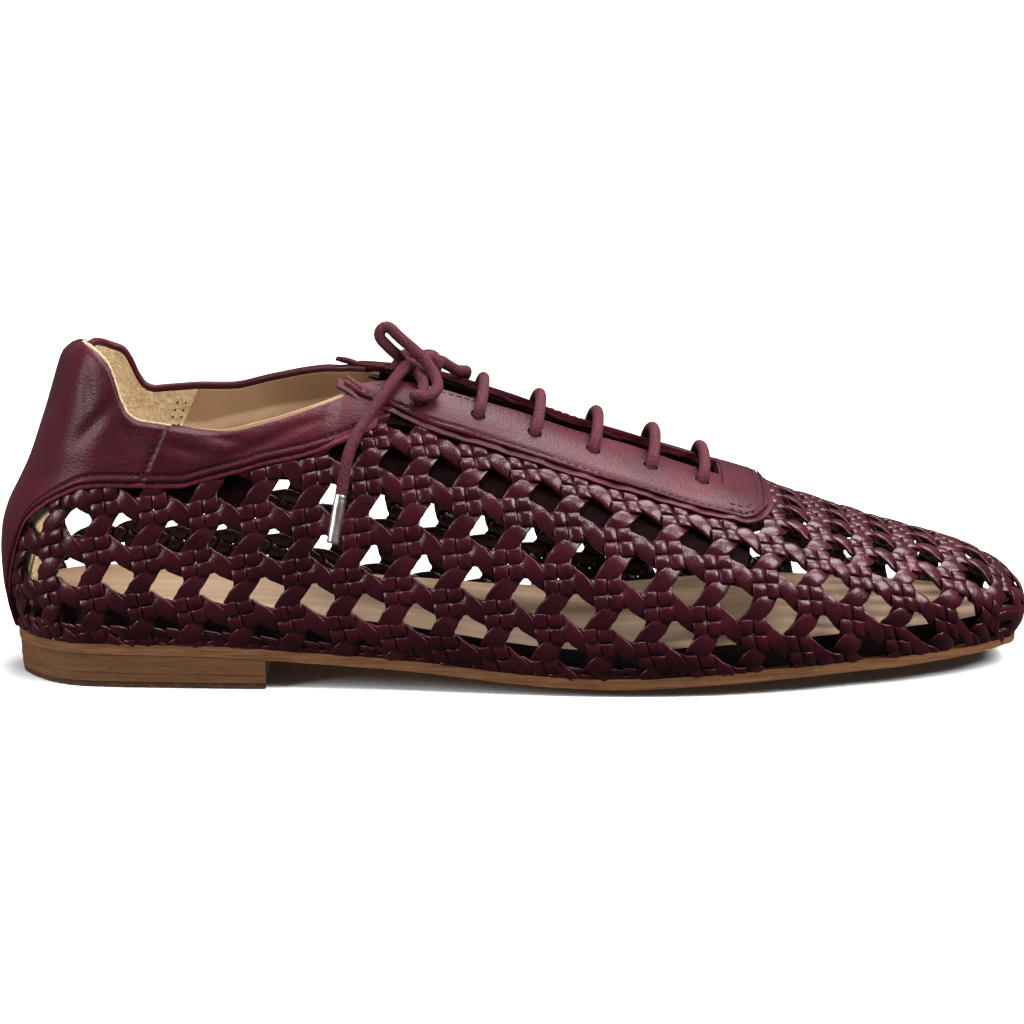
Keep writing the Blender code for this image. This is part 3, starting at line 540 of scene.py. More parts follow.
# Near-black: the dyed flesh side of the facing, seen only through the holes; it is also painted shade on
# the eyestay lining inside the throat and in the pinholes
DARK_BACKING_AND_PAINTED_SHADE = plain("dark_backing_and_painted_shade", 0.06, (800, 4, 0.7), (0.35, 0.7),
                (0.0045, 0.0011, 0.0016), (0.013, 0.003, 0.0045), (0.8, 0.15), (0.0003, 0.5))
SOLE = sole_leather()
STACK = stacked_leather()
RUBBER = plain("heel_rubber", 0.3, (900, 4, 0.7), (0.4, 0.75),
               (0.055, 0.025, 0.012), (0.13, 0.060, 0.027), (0.65, 0.2), (0.0003, 0.6))
LACE = waxed_lace()
METAL = aglet_metal()
THREAD = plain("burgundy_thread", 0.3, (1800, 3), (0.35, 0.7),
               (0.022, 0.004, 0.007), (0.06, 0.013, 0.021), (0.55, 0.2), (0.0002, 0.6))


# Mesh helpers
def warped_grid(bm, along, around, place):
    """A grid of faces with its corners moved to place(a, b), a and b running from 0 to 1."""
    made = bmesh.ops.create_grid(bm, x_segments=along, y_segments=around, size=1, calc_uvs=True)["verts"]
    flat = np.array([v.co[:2] for v in made])
    flat = (flat - flat.min(0)) / (flat.max(0) - flat.min(0))
    for vert, spot in zip(made, place(flat[:, 0], flat[:, 1])):
        vert.co = spot
    return made


def face_out(bm, corners):
    """Turn an open sheet's faces away from the inside of the shoe."""
    faces = list({f for v in corners for f in v.link_faces})
    for face in faces:
        face.normal_update()
    outward = sum(f.calc_area() * f.normal.dot(f.calc_center_median() - INSIDE) for f in faces)
    if outward < 0:
        bmesh.ops.reverse_faces(bm, faces=faces)


def mesh_of(name, bm):
    mesh = bpy.data.meshes.new(name)
    bm.to_mesh(mesh)
    bm.free()
    return mesh


def put(name, data):
    """Show data as a new object in the scene."""
    made = bpy.data.objects.new(name, data)
    bpy.context.scene.collection.objects.link(made)
    return made


def piece(name, bm, finishes, nodes=()):
    """Put a mesh in the scene, on the shoe's body."""
    mesh = mesh_of(name, bm)
    for polygon in mesh.polygons:
        polygon.use_smooth = True
    for finish in finishes:
        mesh.materials.append(finish)
    made = put(name, mesh)
    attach(made, "root")
    if nodes:
        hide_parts(*nodes)
    return made


def round_edges(made, width, degrees):
    """Round the edges where faces meet at more than this angle."""
    edge = made.modifiers.new("rim", "BEVEL")
    edge.width = width * 0.001
    edge.segments = 3
    edge.limit_method = "ANGLE"
    edge.angle_limit = radians(degrees)
    return made


def give_wall(made, thickness, rim, back_finish):
    """Leather thickness inwards, with its edges rounded; the back may have its own finish."""
    wall = made.modifiers.new("wall", "SOLIDIFY")
    wall.thickness = thickness * 0.001
    wall.offset = -1
    wall.use_even_offset = True
    wall.material_offset = back_finish
    return round_edges(made, rim, 50)


def shaded_by_angle(made, degrees):
    """Sharp shading only where faces meet at more than this angle."""
    made.data.set_sharp_from_angle(angle=radians(degrees))
    return made


INSIDE = Vector(to_row((130, 0, 25)))

# The weave: pairs of flat strips that cross in fours, one strip wide each way
STRIP_LEAN = 3.18               # strip widths from one crossing to the next, along the strips
STRIP_HALF = 0.468              # half of a strip's width at a crossing, in strip widths
STRIP_LEAF = 0.125              # how much wider it opens between two crossings
STRIP_STRAIGHT = 0.72           # how far past a crossing it runs straight, in strip widths
STRIP_THICK = 1.15
WEAVE_MIDDLE = -0.45            # lift of the middle of the weave
WEAVE_SWING = 0.7               # how far a strip goes over and under
TURNS_PER_STEP = 13             # faces along a strip from one crossing to the next
# Where a strip starts and ends, in strip widths: True for those that run along the rows
STRIP_RUN = {True: (-30, 56), False: (-30, 60)}
STRIP_UNDER = 2.4               # how far strips go on under the smooth leather
STRIP_FOOT_V = -2.6
STRIP_REAR_U = 8.5
# The inner quarter's crossings lie further back than the outer one's: U, shift
INNER_SHIFT = [(0, 3.5), (40, 4.5), (62, 6.5), (80, 6.0), (98, 3.8), (120, 3.0), (160, 1.4), (215, 0)]
# ... and higher, so that they show in the outer quarter's holes: U, rise
INNER_RISE = [(0, 0), (30, 2), (48, 5), (86, 5), (100, 2), (120, 0), (215, 0)]
# Cross-section of a strip: across, up
STRIP_SHAPE = np.array([(-1, -0.3), (-1, 0.2), (-0.965, 0.33), (-0.88, 0.41), (-0.45, 0.485), (0, 0.51),
                        (0.45, 0.485), (0.88, 0.41), (0.965, 0.33), (1, 0.2), (1, -0.3), (0.85, -0.46),
                        (-0.85, -0.46), (-1, -0.3)])
# How much each corner of it shows the paler cut edge; minus where it is painted near-black: the back, a
# dark flesh side that is also painted shade inside the shoe, and the low sides, painted shade in the
# cracks between strips
STRIP_CUT_EDGE_AND_SHADE = np.array([-0.7, 0.5, 1, 0.3, 0, 0, 0, 0.3, 1, 0.5, -0.7, -1, -1, -0.7])
STRIP_FACES = len(STRIP_SHAPE) - 1
COLUMN_U = (93.2, 13.05, 0.02)  # U at column 0, and what a column's number and its square add
ROW_BELOW = 12.5                # step of the rows below the table's first
# The braid at the foot: first U, last U, step
BRAID_RUN = (10, 196, 4.9)
BRAID_LEAF = 6.6
# Its two leaves: V at the rear end, V at the front end
BRAID_LEAVES = [(4.5, 1.9), (-0.6, 1.5)]
# Strips over the tip: V at the tip, slope, lift
TIP_STRIPS = [(2.2, 3.2, 0.3), (6.2, -3.4, 0.15), (10.2, 3.4, 0.3), (14.2, -3.4, 0.15)]
TIP_REACH = 14                  # how far back along each side they go
TIP_HALF = 2.2                  # half of their width


def weave_chart(k, r):
    """Side, U and V of a place in the weave, counted in columns and rows of crossings."""
    side = np.where(r > RIDGE_ROW, INNER, OUTER)
    start, step, growth = COLUMN_U
    u = np.minimum(start + step * k + growth * k**2, TIP_U)
    u = np.where(side == INNER, u - smooth(INNER_SHIFT, u), u)
    last_u, last_v = MIDDLE_ROW[-1]
    reach = reach_at(side, u)
    drift = reach_at(side, last_u) - ROW_STEP[-1][1] - last_v
    middle = np.where(u >= last_u, reach - ROW_STEP[-1][1],
                      smooth(MIDDLE_ROW, u) + drift * np.minimum(1, u / last_u) ** 2)
    row = np.where(side == OUTER, r, 2 * RIDGE_ROW - r)
    below = np.minimum(row - ROW_STEP[0][0], 0) * ROW_BELOW
    rise = np.where(side == INNER, smooth(INNER_RISE, u), 0)
    return side, u, middle + smooth(ROW_STEP, row) + below + rise


def strand_line(runs_along_rows, line, other, at):
    """One strip: its place across, height and half width, at distances along it in strip widths."""
    start = line if runs_along_rows else -line
    crossing = np.floor((at - start) / STRIP_LEAN)
    past = at - start - crossing * STRIP_LEAN
    sign = np.where((crossing + other) % 2 == 0, 1, -1)
    lean = -1 if runs_along_rows else 1
    base = line * STRIP_LEAN + lean * crossing
    here = base - lean * 0.5 * sign
    there = base + lean + lean * 0.5 * sign
    share = np.clip((past - STRIP_STRAIGHT) / (STRIP_LEAN - 2 * STRIP_STRAIGHT), 0, 1)
    half = STRIP_HALF + STRIP_LEAF * np.sin(pi * share)
    half = half - 0.1 * (bell(share - 0.17, 0.1) + bell(share - 0.83, 0.1))
    share = 0.5 * share + 0.5 * share**2 * (3 - 2 * share)
    turns = [0, 0.5, STRIP_LEAN / 2, STRIP_LEAN - 0.5, STRIP_LEAN]
    phase = np.interp(past, turns, [0.5, 1, 2, 3, 3.5])
    height = sign * np.tanh(1.9 * np.cos(pi * phase)) / np.tanh(1.9)
    return here + (there - here) * share, height, half


def to_lattice(along, across, runs_along_rows):
    """Strip distances to columns and rows of crossings."""
    s, t = (along, across) if runs_along_rows else (across, along)
    scale = STRIP_LEAN**2 + 1
    return (s * STRIP_LEAN - t) / scale, (s + t * STRIP_LEAN) / scale


def strip_shape(b):
    """Corners of a strip's cross-section, at shares b of the way round it: across, up."""
    return STRIP_SHAPE[np.round(b * STRIP_FACES).astype(int)].T


def strip_mesh():
    """An empty mesh for strips, with a layer that tells the finish where their cut edges are, and where
    painted shade darkens their backs and low sides.
    """
    bm = bmesh.new()
    bm.loops.layers.uv.new("strip")
    bm.verts.layers.float.new("edge")
    return bm


def add_strip(bm, along, place):
    made = warped_grid(bm, along, STRIP_FACES, place)
    uv = bm.loops.layers.uv["strip"]
    edge = bm.verts.layers.float["edge"]
    for vert in made:
        # The layer holds the paler cut edge, and minus values where painted shade darkens the strip
        vert[edge] = STRIP_CUT_EDGE_AND_SHADE[round(vert.link_loops[0][uv].uv.y * STRIP_FACES)]


def strip_piece(name, bm, nodes=()):
    bmesh.ops.remove_doubles(bm, verts=bm.verts[:], dist=2e-6)
    bmesh.ops.recalc_face_normals(bm, faces=bm.faces[:])
    piece(name, bm, [STRIPS], nodes)


def weave_strips(bm, runs_along_rows, line, other):
    """One line of strips, cut off a little way under the smooth leather."""
    at = np.arange(*STRIP_RUN[runs_along_rows], STRIP_LEAN / TURNS_PER_STEP)
    across, height, half = strand_line(runs_along_rows, line, other, at)
    side, u, v = weave_chart(*to_lattice(at, across, runs_along_rows))
    shown = (clear_of_cover(side, u, v) > -STRIP_UNDER) & (v > STRIP_FOOT_V)
    shown &= (u > STRIP_REAR_U) & (u < TIP_U - 0.4)
    bend = np.gradient(across, at)
    size = np.hypot(1, bend)
    changes = np.diff(np.r_[0, shown, 0])
    for first, past in zip(np.flatnonzero(changes == 1), np.flatnonzero(changes == -1)):
        if past - first < 5:
            continue

        def place(a, b):
            i = first + np.round(a * (past - first - 1)).astype(int)
            wide, up = strip_shape(b)
            sideways = half[i] * wide / size[i]
            lattice = to_lattice(at[i] - bend[i] * sideways, across[i] + sideways, runs_along_rows)
            chart = weave_chart(*lattice)
            tucked = 0.75 * (1 - fade(clear_of_cover(*chart), -2.5, 1.5))
            lift = WEAVE_MIDDLE + WEAVE_SWING * height[i] + STRIP_THICK * up - tucked
            return on_last(*chart, lift)

        add_strip(bm, past - first - 1, place)


def add_weave(name, runs_along_rows, lines, nodes=()):
    bm = strip_mesh()
    for line in lines:
        for other in (0, 1):
            weave_strips(bm, runs_along_rows, line, other)
    strip_piece(name, bm, nodes)


def add_foot_braid():
    """Small leaves, plaited in a chevron, where the weave is drawn in above the sole."""
    bm = strip_mesh()
    for side in (OUTER, INNER):
        for middle in np.arange(*BRAID_RUN):
            for start_v, end_v in BRAID_LEAVES:
                def place(a, b):
                    wide, up = strip_shape(b)
                    full = np.sin(pi * (0.1 + 0.8 * a))
                    across = (0.15 + 1.45 * full**1.5) * wide
                    u = middle + (a - 0.5) * BRAID_LEAF - 0.45 * np.sign(end_v - start_v) * across
                    low = 1 - 0.45 * fade(u, 40, 110)
                    v = (start_v + (end_v - start_v) * a + 0.9 * across) * low
                    return on_last(side, u, v, -1.2 + 1.2 * full - 0.5 * a + 0.8 * STRIP_THICK * up)

                add_strip(bm, 5, place)
    strip_piece("weave_foot", bm)


def add_tip_strips():
    """Short strips laid slantwise over the tip, where the two sides' rows end."""
    bm = strip_mesh()
    for foot, slope, lift in TIP_STRIPS:
        def place(a, b):
            wide, up = strip_shape(b)
            t = 2 * a - 1
            v = foot + slope * t + TIP_HALF * (1 - 0.45 * t**6) * wide
            side = np.where(t < 0, OUTER, INNER)
            return on_last(side, TIP_U - TIP_REACH * np.abs(t), v, lift - t**6 + STRIP_THICK * up)

        add_strip(bm, 36, place)
    strip_piece("weave_tip", bm)


add_weave("weave_rows", True, range(-4, 15), ["upper"])
add_weave("weave_columns", False, range(-7, 17))
add_foot_braid()
add_tip_strips()


# Smooth leather, laid on the wall
SEAM_FOOT = (51.4, 43)          # U and V of the counter's front seam at its foot
SEAM_SLOPE = 0.26
COLLAR_REAR_U = 51.5
COLLAR_LENGTH = 58.0


def seam_u(v):
    """U of the seam between counter and collar."""
    return SEAM_FOOT[0] + SEAM_SLOPE * np.maximum(0, v - SEAM_FOOT[1])


# Soft folds of the leather on each side: start U V, end U V, half width, depth
FOLDS = {
    OUTER: [(39, 62, 30, 52, 2.4, 0.75), (42, 59, 50, 50, 2.0, 0.6), (30, 70, 33, 60, 2.2, 0.45),
            (55, 53, 66, 50, 1.6, 0.68), (62, 56, 75, 53.5, 1.4, 0.6), (70, 50, 86, 57, 1.5, 0.68),
            (80, 56, 93, 61, 1.5, 0.52), (14, 40, 30, 46, 3.0, 0.38), (6, 60, 20, 66, 3.0, 0.38)],
    INNER: [(40, 62, 31, 51, 2.4, 0.75), (56, 52, 68, 50, 1.6, 0.68), (66, 57, 80, 55, 1.4, 0.6),
            (78, 55, 92, 61, 1.5, 0.52), (10, 62, 22, 58, 3.0, 0.38)],
}


def fold_depth(side, u, v):
    """How far the folds press the leather in."""
    depth = np.zeros_like(u)
    for fold_side, folds in FOLDS.items():
        for u0, v0, u1, v1, half, deep in folds:
            way = np.array((u1 - u0, v1 - v0))
            t = np.clip(((u - u0) * way[0] + (v - v0) * way[1]) / (way @ way), 0, 1)
            away = np.hypot(u - u0 - t * way[0], v - v0 - t * way[1])
            pressed = deep * bell(away, half) * np.sin(pi * (0.1 + 0.8 * t))
            depth += np.where(side == fold_side, pressed, 0)
    return depth


def both_sides(along, up, chart):
    """The same chart on the outer and on the inner side."""
    return [(along, up, partial(chart, side)) for side in (OUTER, INNER)]


def level(lift):
    return lambda side, u, v, b: lift


def add_leather(name, charts, lift, thickness, rim, finishes, nodes=()):
    """Sheets on the last: each chart is (faces along, faces up, function of a and b to side, U, V)."""
    bm = bmesh.new()
    bm.loops.layers.uv.new("cut")
    for along, up, chart in charts:
        def place(a, b):
            side, u, v = chart(a, b)
            return on_last(side, u, v, lift(side, u, v, b))
        face_out(bm, warped_grid(bm, along, up, place))
    bmesh.ops.remove_doubles(bm, verts=bm.verts[:], dist=2e-5)
    return give_wall(piece(name, bm, finishes, nodes), thickness, rim, len(finishes) - 1)


def laid_up(b, foot, height):
    """V up a piece from its foot, with more of the rows close to the edge."""
    part = np.interp(b, [0, 0.26, 1], [0, 1, 2])
    close = np.minimum(4.0, 0.35 * height)
    return foot + np.where(part < 1, part * close, close + (part - 1) * (height - close))


def edge_form(from_foot, from_top, height):
    """Lift of a smooth piece: its foot is a turned lip with a stitched groove, its top is rolled in."""
    lip = 0.5 * (1 - fade(from_foot, 0, 0.8)) - 0.12 * bell(from_foot - 1.1, 0.6)
    groove = 0.42 * bell(from_foot - 2.3, 0.45)
    return height - lip - groove - 1.0 * (1 - fade(from_top, 0, 1.6))


def counter_chart(a, b):
    share = 2 * a - 1
    side = np.where(share < 0, OUTER, INNER)
    v = SEAM_FOOT[1]
    for _ in range(4):
        u = np.abs(share) * (seam_u(v) - 0.1)
        foot = np.maximum(smooth(PIPING, u), 0.2)
        v = laid_up(b, foot, top_v(side, u) - 0.2 - foot)
    return side, u, v


def tab_lean(side, u, v):
    """The top of the tab bends in towards the ankle at the back."""
    return 1.9 * (1 - fade(top_v(side, u) - v, -0.5, 5.5)) * (1 - fade(u, 10, 26))


def counter_lift(side, u, v, b):
    seam = 0.55 * bell(seam_u(v) - u - 1.5, 0.9)
    tab = 0.35 * bell(v - 72, 9) * (1 - fade(u, 30, 40))
    lift = edge_form(v - smooth(PIPING, u), top_v(side, u) - v, 1.65)
    return lift + tab - seam - tab_lean(side, u, v) - fold_depth(side, u, v)


add_leather("counter_leather", [(200, 70, counter_chart)], counter_lift, 1.25, 0.4,
            [SMOOTH], nodes=["heel_counter"])


def collar_chart(side, a, b):
    u_mid = COLLAR_REAR_U + a * COLLAR_LENGTH
    low = smooth(PIPING, u_mid)
    high = top_v(side, np.minimum(u_mid, EYESTAY_REAR_U)) - 0.2
    under = reach_at(side, u_mid) - smooth(EYESTAY_EDGE, u_mid) + 2.5
    high = np.where(u_mid > EYESTAY_REAR_U, np.minimum(under, high), high)
    v = laid_up(b, low, np.maximum(high - low, 0.6))
    return side, u_mid + (1 - a) * (seam_u(v) + 0.1 - COLLAR_REAR_U), v


def collar_lift(side, u, v, b):
    from_foot = v - smooth(PIPING, u)
    padded = 0.8 * np.sin(pi * np.clip(b, 0, 1)) ** 0.8 * (1 - fade(u, 90, 98))
    welt = 0.35 * bell(u - seam_u(v), 1.2)
    lift = edge_form(from_foot, top_v(side, u) - v, 1.45)
    return lift - 0.8 * fade(u, 92, 97) + padded + welt - fold_depth(side, u, v)


for chart, name in zip(both_sides(110, 36, collar_chart), ("lateral", "medial")):
    add_leather(f"collar_leather_{name}", [chart], collar_lift, 1.2, 0.35,
                [SMOOTH], nodes=[f"collar_{name}"])


# Eyestay: an under layer that shows as a lip, and the stitched layer on it
EYESTAY_STEPS = 18              # faces across each leg
GAP_STEPS = 12                  # faces across the end of the throat
# Rear end of each leg: U, of the under layer and of the stitched one
LEG_REAR_U = {OUTER: (94.0, 95.8), INNER: (98.5, 97.5)}


def eyestay_half_edge(inset, u):
    """Distance from the ridge of its outer edge, or of a line inside that."""
    squeeze = (EYESTAY_FRONT_U - EYESTAY_ROUND_U) / (EYESTAY_FRONT_U - inset - EYESTAY_ROUND_U)
    rounded = EYESTAY_ROUND_U + (u - EYESTAY_ROUND_U) * squeeze
    return smooth(EYESTAY_EDGE, np.where(u > EYESTAY_ROUND_U, rounded, u)) - inset


def eyestay_gap(inset, side, u):
    stub = np.where(side == INNER, 0, 2.0) * (1 - fade(u, 100, 110))
    return np.minimum(throat_half(side, u), eyestay_half_edge(inset, u) - 0.5 - stub)


def inward(b):
    """Share of the way from the outer edge to the throat: more rows near both edges."""
    return np.interp(b, [0, 0.45, 0.8, 1], [0, 0.22, 0.86, 1])


def eyestay_leg(inset, side, a, b):
    rear = LEG_REAR_U[side][1 if inset else 0]
    u = rear + a * (THROAT_FRONT_U - rear)
    edge = eyestay_half_edge(inset, u)
    return side, u, reach_at(side, u) - edge - inward(b) * (eyestay_gap(inset, side, u) - edge)


def eyestay_toe_end(inset, a, b):
    """In front of the throat, from one side's edge over the ridge to the other's."""
    u = THROAT_FRONT_U + a * (EYESTAY_FRONT_U - inset - THROAT_FRONT_U)
    wide = eyestay_half_edge(inset, u)
    narrow = np.minimum(eyestay_gap(inset, OUTER, np.minimum(u, THROAT_FRONT_U)), wide - 0.5)
    from_edge = 2 * EYESTAY_STEPS + GAP_STEPS
    step = b * from_edge
    leg = wide + inward(np.minimum(step, from_edge - step) / EYESTAY_STEPS) * (narrow - wide)
    gap = narrow * (1 - 2 * (step - EYESTAY_STEPS) / GAP_STEPS)
    in_gap = (step > EYESTAY_STEPS) & (step < EYESTAY_STEPS + GAP_STEPS)
    away = np.where(in_gap, gap, np.where(step <= EYESTAY_STEPS, leg, -leg))
    side = np.where(away >= 0, OUTER, INNER)
    return side, u, reach_at(side, u) - np.abs(away)


def eyestay_charts(inset):
    legs = both_sides(110, EYESTAY_STEPS, partial(eyestay_leg, inset))
    return legs + [(34, 2 * EYESTAY_STEPS + GAP_STEPS, partial(eyestay_toe_end, inset))]


def from_eyestay_edge(side, u, v):
    """Distance in from the outer edge of the eyestay."""
    return np.minimum(smooth(EYESTAY_EDGE, u) - (reach_at(side, u) - v), EYESTAY_FRONT_U - u)


def eyestay_lift(side, u, v, b):
    inside = from_eyestay_edge(side, u, v) - EYESTAY_LIP
    groove = 0.4 * bell(inside - 1.15, 0.42)
    mitre = 0.3 * bell(u - THROAT_FRONT_U - 1.2, 0.4)
    mitre = mitre * (1 - fade(reach_at(side, u) - v, 14, 17))
    soft = 0.14 * np.sin(u * 0.21) * np.sin(v * 0.33)
    return 2.0 - 0.4 * (1 - fade(inside, 0, 0.7)) - groove - mitre + soft


def lip_lift(side, u, v, b):
    """The under layer's edge runs in small waves where the weave pulls it."""
    return 0.95 + (0.22 * np.sin(u * 2 * pi / 13.2) + 0.1 * np.sin(u * 2 * pi / 5.7))


eyestay_lip = add_leather("eyestay_lip", eyestay_charts(0.0), lip_lift, 0.9, 0.4, [SMOOTH])
eyestay = add_leather("eyestay_leather", eyestay_charts(EYESTAY_LIP), eyestay_lift, 1.1, 0.4,
                      [SMOOTH], nodes=["eyestay"])


def flap_chart(a, b):
    """The inner eyestay's loose rear end stands up over the collar."""
    u = 92.0 + a * 13.6
    low = top_v(INNER, u) - 0.9 + 2.1 * (1 - fade(u, 91, 100))
    return INNER, u, low + b * (0.6 + 1.2 * fade(u, 90.6, 95))


def flap_lift(side, u, v, b):
    return 1.0 + 0.7 * (1 - fade(u, 91, 100))


add_leather("eyestay_flap", [(40, 6, flap_chart)], flap_lift, 0.9, 0.3, [SMOOTH])


def punch_eyelets(made):
    """Cut the round lace holes through a piece."""
    bm = bmesh.new()
    for side in (OUTER, INNER):
        for u in EYELET_U:
            v = reach_at(side, u) - EYELET_FROM_RIDGE
            low, high = (Vector(on_last(side, u, v, lift)) for lift in (-2.0, 4.0))
            turn = (high - low).to_track_quat("Z", "Y").to_matrix().to_4x4()
            turn.translation = (low + high) / 2
            bmesh.ops.create_cone(bm, cap_ends=True, segments=20, radius1=EYELET_RADIUS * 0.001,
                                  radius2=EYELET_RADIUS * 0.001, depth=0.006, matrix=turn)
    punches = put("punches", mesh_of("punches", bm))
    cut = made.modifiers.new("eyelets", "BOOLEAN")
    cut.operation = "DIFFERENCE"
    cut.solver = "EXACT"
    cut.object = punches
    bpy.context.view_layer.update()
    ready = made.evaluated_get(bpy.context.evaluated_depsgraph_get())
    punched = bpy.data.meshes.new_from_object(ready)
    made.modifiers.clear()
    made.data = punched
    bpy.data.objects.remove(punches)
    return made


for made in (eyestay, eyestay_lip):
    shaded_by_angle(punch_eyelets(made), 40)


# Cut edge of the lower layer, showing under the counter and collars
def piping_chart(side, a, b):
    u = 9.4 + a * 97
    return side, u, np.maximum(smooth(PIPING, u) - 1.05 + 2.65 * b, 0.1)


def piping_lift(side, u, v, b):
    return 0.85 + 0.25 * np.sin(pi * np.minimum(b * 1.6, 1)) + 0.05 * np.sin(u * 2.1)


add_leather("crimson_edge", both_sides(190, 8, piping_chart), piping_lift, 0.8, 0.3, [CUT_EDGE])


# Linings
def lining_foot(u):
    """The lining ends a little in front of and below the counter's edge."""
    return np.maximum(smooth(PIPING, np.maximum(u - 4.5, 0)) - 0.6, 1.0)


def lining_top(side, u):
    """It shows as a hairline over the outer collar and stops under the inner collar's roll."""
    return top_v(side, u) + np.where(side == INNER, 0.15 - 1.9 * fade(u, 1, 6), 0.15)


def lining_lift(side, u, v, b):
    """Close to the leather, and behind the weave at its foot."""
    return -0.15 - 2.0 * (1 - fade(v - smooth(PIPING, u), 1.5, 6.0)) - tab_lean(side, u, v)


def heel_lining_chart(a, b):
    share = 2 * a - 1
    side = np.where(share < 0, OUTER, INNER)
    u = np.abs(share) * (58 - 4 * (1 - b))
    foot = lining_foot(u)
    return side, u, foot + b * (lining_top(side, u) - foot)


def collar_lining_chart(side, a, b):
    u = 56 - 4 * (1 - b) * (1 - a) + a * (106 - 56)
    foot = smooth(PIPING, u) + 0.2
    return side, u, foot + b * (lining_top(side, u) - foot)


def eyestay_lining_chart(side, a, b):
    rear = 100 if side == OUTER else 104.5
    u = rear + a * (THROAT_FRONT_U - rear)
    return side, u, reach_at(side, u) - (throat_half(side, u) + 0.3) - 12 * (1 - b)


# Facing behind the weave under the eyestay: its dark side shows through the upper holes
FACING_FRONT_U = 207
# Its lower edge under the outer collar: U, V
FACING_FOOT = [(26, 36), (34, 38.2), (45, 36.6), (60, 36.2), (72, 37.2), (77, 38.8), (80.5, 44.4),
               (93.2, 45.2)]


def facing_chart(side, a, b):
    start = 26 if side == OUTER else 102
    u = start + a * (FACING_FRONT_U - start)
    behind = u < FACING_FOOT[-1][0]
    foot = np.where(behind, smooth(FACING_FOOT, u), smooth(MIDDLE_ROW, u) + 10.8)
    high = reach_at(side, u) - smooth(EYESTAY_EDGE, u) + 5
    high = np.where(u < 97, smooth(PIPING, u) + 4, high)
    return side, u, foot + b * np.maximum(high - foot, 0.5)


for name, charts, lift, thickness, rim, finishes in (
        ("heel_lining", [(120, 50, heel_lining_chart)], lining_lift, 0.8, 0.25, [SUEDE]),
        ("collar_lining", both_sides(60, 24, collar_lining_chart), lining_lift, 0.75, 0.25, [LINING]),
        # Painted shade: the eyestay lining inside the throat gets the near-black finish, as it lies in
        # shadow
        ("eyestay_lining", both_sides(80, 8, eyestay_lining_chart), level(-0.05), 0.9, 0.3, [DARK_BACKING_AND_PAINTED_SHADE]),
        ("eyestay_facing", both_sides(140, 12, facing_chart), level(-1.8), 0.8, 0.25, [DARK_BACKING_AND_PAINTED_SHADE, LINING])):
    add_leather(name, charts, lift, thickness, rim, finishes)


# Soles, footbed and heel, from the upper's own foot line
def half_outline(side, offset):
    """The foot line of one side from the heel to the tip, moved out, with its heights."""
    line = np.concatenate([POINTS[side, :, 0], POINTS[side, -1, 1:]])
    along = np.gradient(line[:, :2], axis=0)
    sign = -1 if side == OUTER else 1
    along[0] = (0, sign)
    along[-1] = (0, -sign)
    along /= np.linalg.norm(along, axis=1, keepdims=True)
    out = np.c_[-along[:, 1], along[:, 0]] * sign
    return np.c_[line[:, :2] + offset * out, line[:, 2]]


def add_slab(name, offset, top, bottom, rim, finishes, nodes, end_x=None, across=20):
    """A plate with the foot's outline: top and bottom give heights from X, share across and foot."""
    sides = [half_outline(OUTER, offset), half_outline(INNER, offset)]
    walked = walked_along(sides[OUTER][:, :2])
    end = walked[-1]
    if end_x is not None:
        end = float(np.interp(end_x, sides[OUTER][:150, 0], walked[:150]))
    bm = bmesh.new()
    bm.loops.layers.uv.new("cut")
    under = bm.verts.layers.float.new("under")

    def plan(a, b):
        near, far = (np.stack([np.interp(a**1.3 * end, walked, column) for column in side.T], -1)
                     for side in sides)
        t = 2 * b - 1
        spot = near + ((t + 1) / 2)[:, None] * (far - near)
        return spot[:, 0], spot[:, 1], t, spot[:, 2]

    def place(a, b):
        x, y, t, foot = plan(a, b)
        return to_row(np.c_[x, y, top(x, t, foot)])

    made = warped_grid(bm, 150, across, place)
    uv = bm.loops.layers.uv.active
    spots = np.array([v.link_loops[0][uv].uv for v in made])
    x, y, t, foot = plan(spots[:, 0], spots[:, 1])
    for vert, low in zip(made, bottom(x, t, foot) + 0 * x):
        vert[under] = low * 0.001
    bmesh.ops.remove_doubles(bm, verts=bm.verts[:], dist=1e-6)
    raised = bmesh.ops.extrude_face_region(bm, geom=bm.faces[:])["geom"]
    for part in raised:
        if isinstance(part, bmesh.types.BMVert):
            part.co.z = part[under]
    bmesh.ops.recalc_face_normals(bm, faces=bm.faces[:])
    bm.normal_update()
    for face in bm.faces:
        face.material_index = len(finishes) - 1 if abs(face.normal.z) < 0.6 else 0
    made = piece(name, bm, finishes, nodes)
    return shaded_by_angle(round_edges(made, rim, 45), 60)


def sole_bottom(x, t, foot):
    """Even at the heel and waist; the forefoot is rounded down to a flat that touches the floor."""
    edge = foot - PIECE_GAP - SOLE_EDGE * (1 - 0.3 * fade(x, 225, 262))
    ramp = np.interp(x, [FLAT_SOLE[0] - 42, FLAT_SOLE[0], FLAT_SOLE[1], 255], [0, 1, 1, 0])
    flat = (x >= FLAT_SOLE[0]) & (x <= FLAT_SOLE[1])
    drop = np.where(flat, edge, np.minimum(edge, 2.2)) * ramp
    return edge - drop * np.clip((1 - np.abs(t)) / 0.3, 0, 1)


add_slab("outsole_leather", SOLE_LIP, lambda x, t, foot: foot - PIECE_GAP, sole_bottom, 0.55,
         [SOLE], ["outsole"])


def footbed_top(x, t, foot):
    """Cushioned under the heel, with its edge rounded down."""
    return foot + FOOTBED + 2.6 * (1 - fade(x, 70, 150)) - 0.9 * np.abs(t) ** 12


add_slab("footbed", -WALL - 0.9, footbed_top, lambda x, t, foot: foot,
         1.1, [BED, BED_SIDE], ["insole"])

# The heel's layers: their limits as shares of its height
LIFTS = (0.0, 0.34, 0.68, 1.0)
LIFTS_FOOT = TOP_PIECE + 0.1
LIFTS_TOP = SOLE_EDGE + 2 * PIECE_GAP - 0.25    # below the upper's foot line


def lift_height(share):
    return lambda x, t, foot: LIFTS_FOOT + share * (foot - LIFTS_TOP - LIFTS_FOOT)


